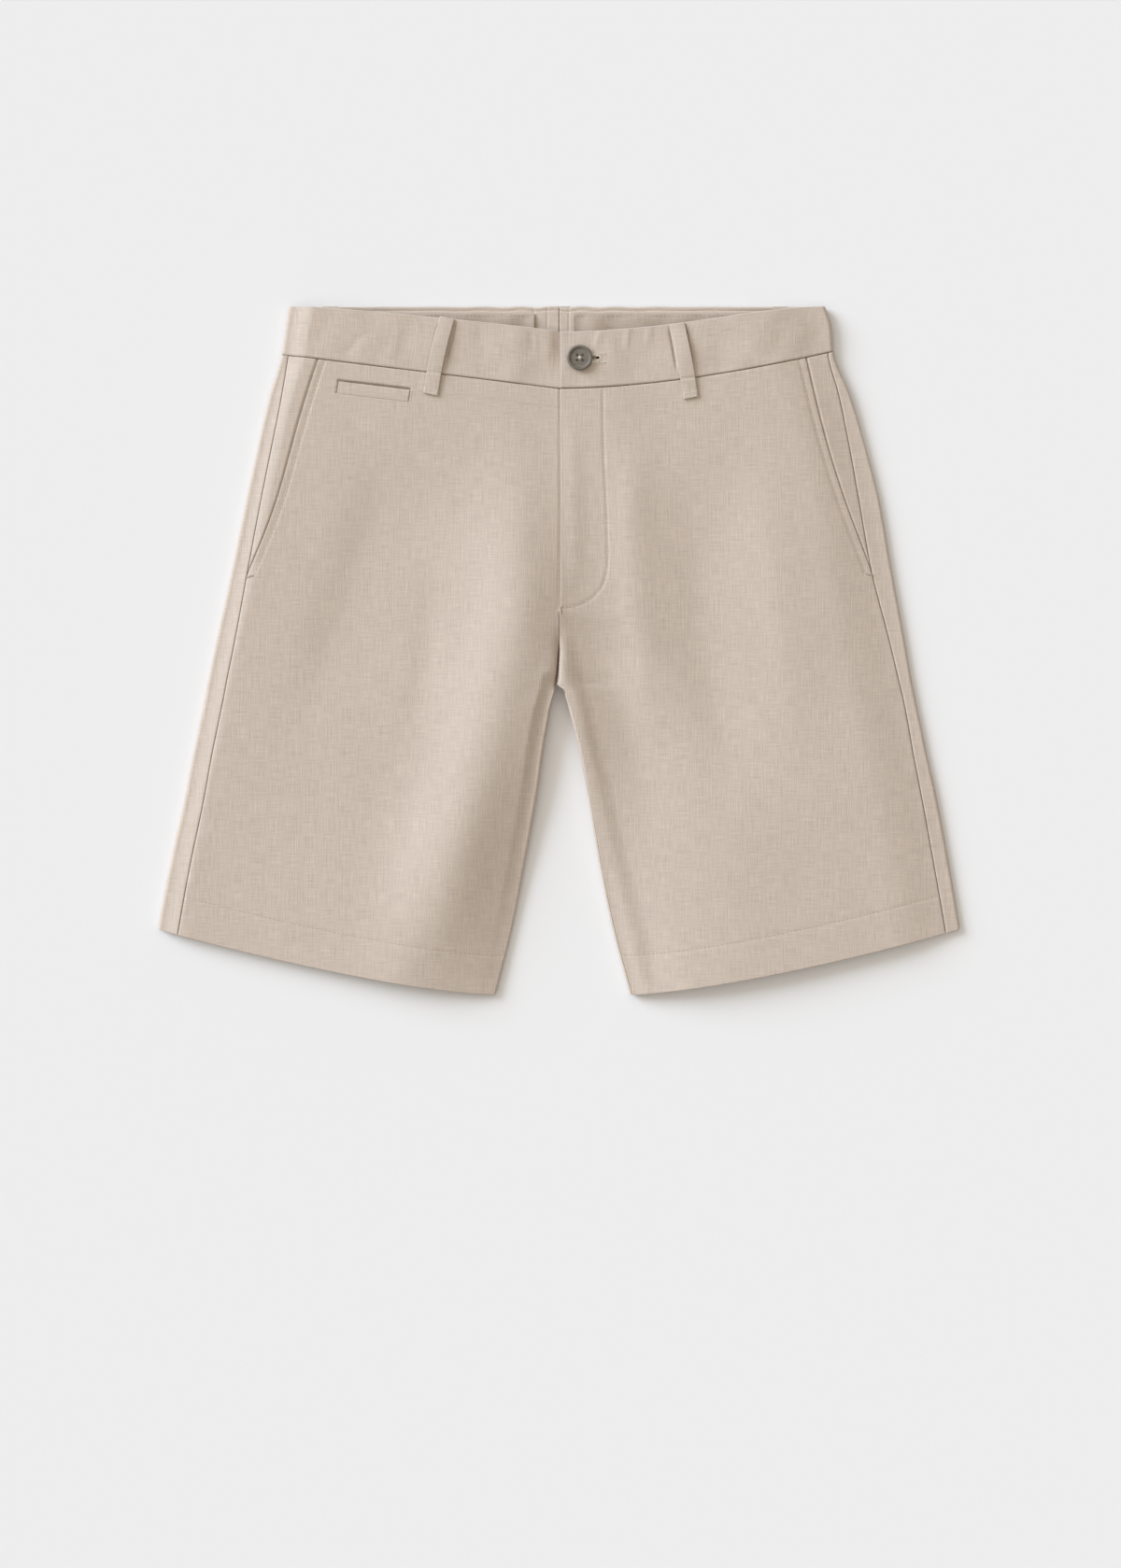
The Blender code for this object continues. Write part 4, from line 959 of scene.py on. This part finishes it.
# Each stitch is a capsule from start to end, arched a little: rings of a circle whose size falls
# at the ends, set round the line between them. runs has starts and ends for each row of stitches.
def stitchMesh(name, runs, radius, material, arch=0.35):
    starts, ends = (np.concatenate(part) for part in zip(*runs))
    run = ends - starts
    long = np.linalg.norm(run, axis=-1, keepdims=True)
    run = run / long
    aside = np.cross((0, 0, 1), run)
    aside = aside / np.linalg.norm(aside, axis=-1, keepdims=True)
    ups = np.cross(run, aside)
    sides = stitchRings["sides"]
    angle = (np.arange(sides) / sides * 2 * np.pi)[None, None, :, None]
    t, rise = stitchRings["at"][None, :, None], (radius * arch * stitchRings["rise"])[None, :, None]
    centre = starts[:, None] + run[:, None] * (long[:, None] * t) + ups[:, None] * rise
    ring = aside[:, None, None] * np.cos(angle) + ups[:, None, None] * np.sin(angle)
    points = centre[:, :, None] + ring * (radius * stitchRings["size"])[None, :, None, None]
    count, rings = points.shape[:2]
    index = np.arange(rings * sides).reshape(rings, sides)
    after = np.roll(index, -1, axis=1)
    body = np.stack([index[:-1], after[:-1], after[1:], index[1:]], axis=-1).reshape(-1, 4)
    caps = np.array([[3, 2, 1, 0], [5, 4, 3, 0]])
    faces = np.concatenate([body, caps, caps[:, ::-1] + (rings - 1) * sides])
    faces = (faces[None] + (np.arange(count) * rings * sides)[:, None, None]).reshape(-1, 4)
    return addMesh(name, points.reshape(-1, 3), faces, material)


# Points at places (x, drop), lifted a little off the height there.
def onSurface(places, topHeight, lifted):
    x, drop = places.T
    return spot(x, drop, topHeight(x, drop) + lifted)


# Stitches along a path of places (x, drop), lying on the height that topHeight gives.
def sewAlong(path, topHeight, long=sewing["stitchLong"], step=sewing["stitchStep"], lifted=0.00004):
    at = lengthAlong(path, 0)
    count = max(1, int((at[-1] - long) / step) + 1)
    first = np.arange(count) * step + (at[-1] - (count - 1) * step - long) / 2
    runs = []
    for start in (first, first + long):
        places = np.stack([np.interp(start, at, column) for column in path.T], axis=-1)
        runs.append(onSurface(places, topHeight, lifted))
    return runs


# A bar of close stitches across the line from start to end, at a pocket's foot or the fly's.
def barTack(start, end, wide, topHeight, lifted=0.00012):
    start, along = np.array(start), np.subtract(end, start)
    long = np.hypot(*along)
    normal = np.array([-along[1], along[0]]) / long * wide / 2
    middle = start + along * np.linspace(0, 1, max(2, int(long / sewing["tackStep"])))[:, None]
    return [onSurface(middle + sign * normal, topHeight, lifted) for sign in (-1, 1)]


# The sewn line beside the pocket mouth, inset from its edge.
def mouthLine(side):
    v = np.linspace(0.004, pocketFoot(side), 80)
    x = side * (pocketMouth(side, v) - sewing["pocketInset"])
    return np.stack([x, legDrop(x, v)], axis=-1)


# The sewn line along the top of the turned-up hem, from the side seam to the inner fold.
def hemLine(side):
    (clearOut, clearIn), inner = sewing["hemClear"], sewing["hemInnerDrop"]
    sideX = side * (sideSeam(side, sewing["hemSideShare"]) - clearOut)
    innerSide = innerX(side, inner) + side * (innerAcross(side, inner) + clearIn)
    x = mix(sideX, innerSide, np.linspace(0, 1, 120))
    return np.stack([x, hem(x) - cut["hemDepth"]], axis=-1)


# A front's sewing: pocket mouth, hem and the pocket's tack, and on the left the fly too.
def sewFront(side):
    surface = partial(legTop, side)
    mouth = mouthLine(side)
    tackX, tackDown, tackWide = sewing["pocketTack"]
    runs = [sewAlong(mouth, surface), sewAlong(hemLine(side), surface),
            barTack(mouth[-1], mouth[-1] + (side * tackX, tackDown), tackWide, surface)]
    if side == left:
        runs.append(sewAlong(alongPath(flyLine, 0.001), surface, long=0.0022, step=0.0027))
        x, top, foot, wide = sewing["flyTack"]
        runs.append(barTack((x, top), (x, foot), wide, surface))
    return stitchMesh("stitches_front_" + sideName[side], runs, sewing["threadRadius"], thread)


# A box of stitches across each front loop's foot.
def sewLoops(inset=0.0013, shares=(0.925, 0.98), step=0.0012, lifted=0.00008):
    share = np.array(shares)[[0, 0, 1, 1, 0]]
    across = np.array([-1, 1, 1, -1, -1]) * (loopLook["width"] / 2 - inset)
    runs = []
    for name in ("front_right", "front_left"):
        x, drop = onLoop(name, share, across)
        corners = spot(x, drop, loopTop(name, x, drop, share, across) + lifted)
        for a, b in zip(corners[:-1], corners[1:]):
            count = max(2, int(np.linalg.norm(b - a) / step))
            at = np.arange(count)[:, None] / count
            runs.append((mix(a, b, at), mix(a, b, at + 0.85 / count)))
    return stitchMesh("stitches_belt_loops", runs, sewing["loopThreadRadius"], paleThread)


# Two rows at each end of the welt: one on it and one on the leg beside it.
def sewWelt():
    inset, half = welt["sewnIn"], welt["long"] / 2
    t = np.linspace(-0.5, 0.5, 12)
    runs = []
    for end in (-1, 1):
        over, beside = np.full(12, end * (half - inset)), np.full(12, end * (half + welt["tackOff"]))
        onWelt = np.stack(weltPlace(over, t * (welt["high"] - 2 * inset)), axis=-1)
        onLeg = np.stack(weltPlace(beside, t * 1.1 * welt["high"]), axis=-1)
        runs += [sewAlong(onWelt, lambda x, drop: weltBase(x, drop) + welt["cloth"] + 0.0001, 0.0019, 0.0024),
                 sewAlong(onLeg, partial(legTop, right), 0.0017, 0.0022)]
    return stitchMesh("stitches_coin_pocket", runs, sewing["threadRadius"] * 0.9, thread)


# A row along the top and the foot of each facing, and one down its end at centre back.
def sewFacing(inset=0.0016, ends=(0.0008, 0.001), endInset=0.0012, endClear=0.002):
    runs = []
    for side in (right, left):
        x = side * np.linspace(facing["from"][side] + ends[0], facing["half"] - ends[1], 100)
        for drop in (facing["top"] + inset, facing["foot"] - inset):
            runs.append(sewAlong(np.stack([x, np.full(100, drop)], axis=-1), facingTop))
    for side in (right, left):
        x = np.full(20, side * (facing["from"][side] + endInset))
        drop = np.linspace(facing["top"] + endClear, facing["foot"] - endClear, 20)
        runs.append(sewAlong(np.stack([x, drop], axis=-1), facingTop, 0.0016, 0.002))
    return stitchMesh("stitches_facing", runs, sewing["threadRadius"], thread)


# The worked edge of the buttonhole: close stitches that stand across the slit's outline, a
# straight slit with a round eye at its outer end.
def sewButtonhole(inset=0.0005, eyeBack=0.0002, long=0.0021, lifted=0.0001):
    half, eye = buttonhole["half"] + inset, buttonhole["eye"]
    x0, x1, d0 = buttonhole["from"], buttonhole["to"], buttonhole["drop"]
    turn = np.linspace(-0.8 * np.pi, 0.8 * np.pi, 22)
    xs = np.linspace(x0, x1 - 2 * eye, 40)
    x = np.concatenate([xs, x1 - eye + eye * np.cos(turn) - eyeBack, xs[::-1]])
    drop = np.concatenate([np.full(40, d0 - half), d0 + eye * np.sin(turn), np.full(40, d0 + half)])
    path = np.stack([x, drop], axis=-1)
    out = path - np.stack([np.clip(x, x0, x1 - eye - eyeBack), np.full(len(x), d0)], axis=-1)
    out = out / np.linalg.norm(out, axis=-1, keepdims=True)
    run = [onSurface(place, partial(bandFace, left), lifted) for place in (path, path + out * long)]
    return stitchMesh("stitches_buttonhole", [run], sewing["threadRadius"] * 1.15, buttonholeThread)


# A bar of thick thread along the outer ends of those stitches, on either side and past the eye.
def sewButtonholeBars(lifted=0.0002):
    x = np.linspace(*buttonhole["bars"], 6)
    runs = []
    for sign in (-1, 1):
        drop = np.full(len(x), buttonhole["drop"] + sign * buttonhole["barsOff"])
        points = spot(x, drop, bandFace(left, x, drop) + lifted)
        runs.append((points[:-1], points[1:]))
    return stitchMesh("stitches_buttonhole_bars", runs, buttonhole["barRadius"], paleThread, arch=0.1)


frontStitches = {side: sewFront(side) for side in (right, left)}
stitches = [*frontStitches.values(), sewLoops(), sewWelt(), sewFacing(), sewButtonhole(), sewButtonholeBars()]
print("stitches made")

buttonLook = {
    "x": 0.0155, "drop": 0.0396, "radius": 0.0095, "thick": 0.0028, "rim": 0.0023, "stands": 0.001,
    "rimRise": 0.0009, "steps": 96, "holeRadius": 0.001, "holeOff": 0.002, "holeSteps": 20,
    # in from the radius, and up from the underside
    "foot": [(0.0012, 0.0), (0.0007, 0.00008), (0.0003, 0.0003), (0.00008, 0.0007), (0.0, 0.0013)],
    # radius, and down from the top
    "dish": [(0.0069, 0.0011), (0.0064, 0.00118), (0.004, 0.0011), (0.002, 0.00105)],
    "colours": [(0.13, 0.112, 0.09), (0.19, 0.168, 0.138)], "roughness": 0.5, "specular": 0.35,
    "streaks": (130, 900, 400), "streaksTurn": (0, 0, 0.5), "ramp": (0.3, 0.75),
    "threadRadius": 0.00024, "threadApart": 0.0005, "threadHigh": {1: 0.00045, -1: 0.00075},
    "threadLift": 0.0003, "shank": (0.0009, 0.0004),
}


# Horn: a noise stretched into slanting streaks between a dark and a paler brown.
def hornMaterial(look):
    material, tree, shader = newMaterial("button_horn", {"Roughness": look["roughness"],
                                                         "Specular IOR Level": look["specular"]})
    place = makeNode(tree, "ShaderNodeTexCoord").outputs["Object"]
    streaked = makeNode(tree, "ShaderNodeMapping", {"Vector": place, "Rotation": look["streaksTurn"],
                                                    "Scale": look["streaks"]}).outputs[0]
    noise = makeNode(tree, "ShaderNodeTexNoise", {"Vector": streaked, "Scale": 1.0, "Detail": 5.0}).outputs[0]
    ramp = makeNode(tree, "ShaderNodeValToRGB", {"Fac": noise})
    for element, position, colour in zip(ramp.color_ramp.elements, look["ramp"], look["colours"]):
        element.position, element.color = position, (*colour, 1)
    setInputs(tree, shader, {"Base Color": ramp.outputs[0]})
    return material


# A solid of revolution: each (radius, height) of the profile is carried round the axis.
def turnedMesh(name, profile, x, y, z, steps):
    profile = np.array(profile, float)
    angle = np.arange(steps) / steps * 2 * np.pi
    radius, high = profile[:, :1], np.repeat(profile[:, 1:], steps, axis=1)
    points = np.stack([x + radius * np.cos(angle), y + radius * np.sin(angle), z + high], axis=-1)
    index = np.arange(high.size).reshape(high.shape)
    after = np.roll(index, -1, axis=1)
    faces = np.stack([index[:-1], after[:-1], after[1:], index[1:]], axis=-1).reshape(-1, 4)
    mesh = bpy.data.meshes.new(name)
    caps = [index[0, ::-1].tolist(), index[-1].tolist()]
    mesh.from_pydata(points.reshape(-1, 3).tolist(), [], faces.tolist() + caps)
    return mesh


# The disc with its rounded rim and dish, drilled by four rods.
def roundButton(look, y, z):
    top, middle = look["thick"], look["radius"] - look["rim"] / 2
    foot = [(look["radius"] - inset, high) for inset, high in look["foot"]]
    rim = [(middle + look["rim"] / 2 * np.cos(t), top + look["rimRise"] * (np.sin(t) - 1))
           for t in np.linspace(0, np.pi, 12)]
    dish = [(radius, top - down) for radius, down in look["dish"]]
    mesh = turnedMesh("horn_button", foot + rim + dish, look["x"], y, z, look["steps"])
    disc = addPiece("horn_button", mesh, hornMaterial(look))
    cutters = []
    for sx, sy in ((-1, -1), (-1, 1), (1, 1), (1, -1)):
        rod = [(look["holeRadius"], -0.001), (look["holeRadius"], 0.004)]
        x, off = look["x"] + sx * look["holeOff"], sy * look["holeOff"]
        cutter = bpy.data.objects.new("hole", turnedMesh("hole", rod, x, y + off, z, look["holeSteps"]))
        bpy.context.scene.collection.objects.link(cutter)
        drill = disc.modifiers.new("hole", "BOOLEAN")
        drill.operation, drill.solver, drill.object = "DIFFERENCE", "EXACT", cutter
        cutters.append(cutter)
    solid = bpy.data.meshes.new_from_object(disc.evaluated_get(bpy.context.evaluated_depsgraph_get()))
    disc.modifiers.clear()
    disc.data = solid
    for cutter in cutters:
        bpy.data.objects.remove(cutter, do_unlink=True)
    solid.shade_smooth()
    solid.set_sharp_from_angle(angle=0.7)
    return disc


# The sewing of the button: two bars of thread crossed over the four holes, and the shank below.
def buttonSewing(look, y, z):
    low = z + look["thick"] - look["dish"][-1][1] - 0.0004
    off = look["holeOff"] - look["holeRadius"] * 0.95
    starts, ends = [], []
    for turn in (1, -1):
        rise = np.array([0, 0, look["threadHigh"][turn] + look["threadLift"]])
        for shift in np.array([-1, 0, 1]) * look["threadApart"] * 0.7:
            a = np.array([look["x"] - off + turn * shift, y - turn * off - shift, low])
            b = np.array([look["x"] + off + turn * shift, y + turn * off - shift, low])
            starts += [a, mix(a, b, 0.5) + rise]
            ends += [mix(a, b, 0.5) + rise, b]
    cross = stitchMesh("thread_button_cross", [(starts, ends)], look["threadRadius"], paleThread, arch=0.0)
    foot = float(bandFace(right, np.array(look["x"]), np.array(look["drop"]))) + cut["seamGap"] - z
    wide, narrow = look["shank"]
    profile = [(narrow, foot), (wide, foot + 0.0003), (wide, -0.0005), (narrow, -0.0003)]
    shank = turnedMesh("thread_button_shank", profile, look["x"], y, z, 24)
    return cross, addPiece("thread_button_shank", shank, paleThread)


buttonY = cut["topY"] - buttonLook["drop"]
bandUnder = float(bandFace(left, np.array(buttonLook["x"]), np.array(buttonLook["drop"])))
buttonZ = bandUnder + buttonLook["stands"]
button = roundButton(buttonLook, buttonY, buttonZ)
crossThread, shankThread = buttonSewing(buttonLook, buttonY, buttonZ)
print("button made")


# Hides the CAD part of the node that a piece of cloth stands for.
def declareCloth(node):
    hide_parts(node)


liesOn = [("front", fronts, [backs, pocketFacings]), ("back", backs, []),
          ("waistband", bands, [fronts, backs]), ("waistband_facing", facings, [bands]),
          ("pocket_facing", pocketFacings, [backs])]
for side in (right, left):
    for kind, pieces, under in liesOn:
        declareCloth(f"{kind}_{sideName[side]}")
declareCloth("coin_pocket_welt")
for name, piece in loopPieces.items():
    declareCloth("belt_loop_" + name)
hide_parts("button")
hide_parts("button_thread")

studio = {
    "key": {"strength": 3.12, "colour": (0.88, 1.0, 1.17), "angle": 34.0, "from": (150.0, 23.0)},
    "overhead": {"strength": 1.33, "colour": (1.075, 1.0, 0.905), "angle": 110.0, "from": (150.0, 72.0)},
    "fillStrength": 0.275, "fillColour": (1.075, 1.0, 0.905), "background": 0.863,
    "floorTone": 0.8, "floorHalf": 9.0, "camera": (0.00105, -0.1005, 2.787), "lens": 85.0, "sensor": 36.0,
}


# A far light from (azimuth, elevation); angle is how wide it looks, which softens its shadows.
def addSun(name, look):
    azimuth, elevation = np.radians(look["from"])
    flat = np.cos(elevation)
    towards = Vector((flat * np.cos(azimuth), flat * np.sin(azimuth), np.sin(elevation)))
    lamp = bpy.data.lights.new(name, "SUN")
    lamp.energy, lamp.color, lamp.angle = look["strength"], look["colour"], np.radians(look["angle"])
    sun = bpy.data.objects.new(name, lamp)
    sun.rotation_euler = towards.to_track_quat("Z", "Y").to_euler()
    bpy.context.scene.collection.objects.link(sun)


# A wide pale floor at height 0, which isn't part of the garment.
def addFloor(look):
    mesh = bpy.data.meshes.new("floor")
    half = look["floorHalf"]
    corners = [(-half, -half, 0), (half, -half, 0), (half, half, 0), (-half, half, 0)]
    mesh.from_pydata(corners, [], [(0, 1, 2, 3)])
    tone = (look["floorTone"],) * 3 + (1,)
    mesh.materials.append(newMaterial("pale_floor", {"Base Color": tone, "Roughness": 1.0,
                                                     "Specular IOR Level": 0.0})[0])
    floor = bpy.data.objects.new("floor", mesh)
    bpy.context.scene.collection.objects.link(floor)


# The world fills the shadows, and the camera sees it as a plain pale backdrop.
def makeWorld(look):
    world = bpy.data.worlds.new("studio")
    bpy.context.scene.world = world
    world.use_nodes = True
    tree = world.node_tree
    tree.nodes.clear()
    colour, white = (*look["fillColour"], 1), (1, 1, 1, 1)
    fill = makeNode(tree, "ShaderNodeBackground", {"Color": colour, "Strength": look["fillStrength"]})
    seen = makeNode(tree, "ShaderNodeBackground", {"Color": white, "Strength": look["background"]})
    camera = makeNode(tree, "ShaderNodeLightPath").outputs["Is Camera Ray"]
    both = makeNode(tree, "ShaderNodeMixShader", {0: camera, 1: fill.outputs[0], 2: seen.outputs[0]})
    makeNode(tree, "ShaderNodeOutputWorld", {"Surface": both.outputs[0]})


# The camera looks straight down.
def addCamera(look):
    lens = bpy.data.cameras.new("camera")
    lens.lens, lens.sensor_width, lens.clip_end = look["lens"], look["sensor"], 50.0
    camera = bpy.data.objects.new("camera", lens)
    camera.location = look["camera"]
    bpy.context.scene.collection.objects.link(camera)
    bpy.context.scene.camera = camera


addFloor(studio)
for name in ("key", "overhead"):
    addSun(name, studio[name])
makeWorld(studio)
addCamera(studio)
bpy.context.scene.view_settings.view_transform = "Standard"
print("stage made")
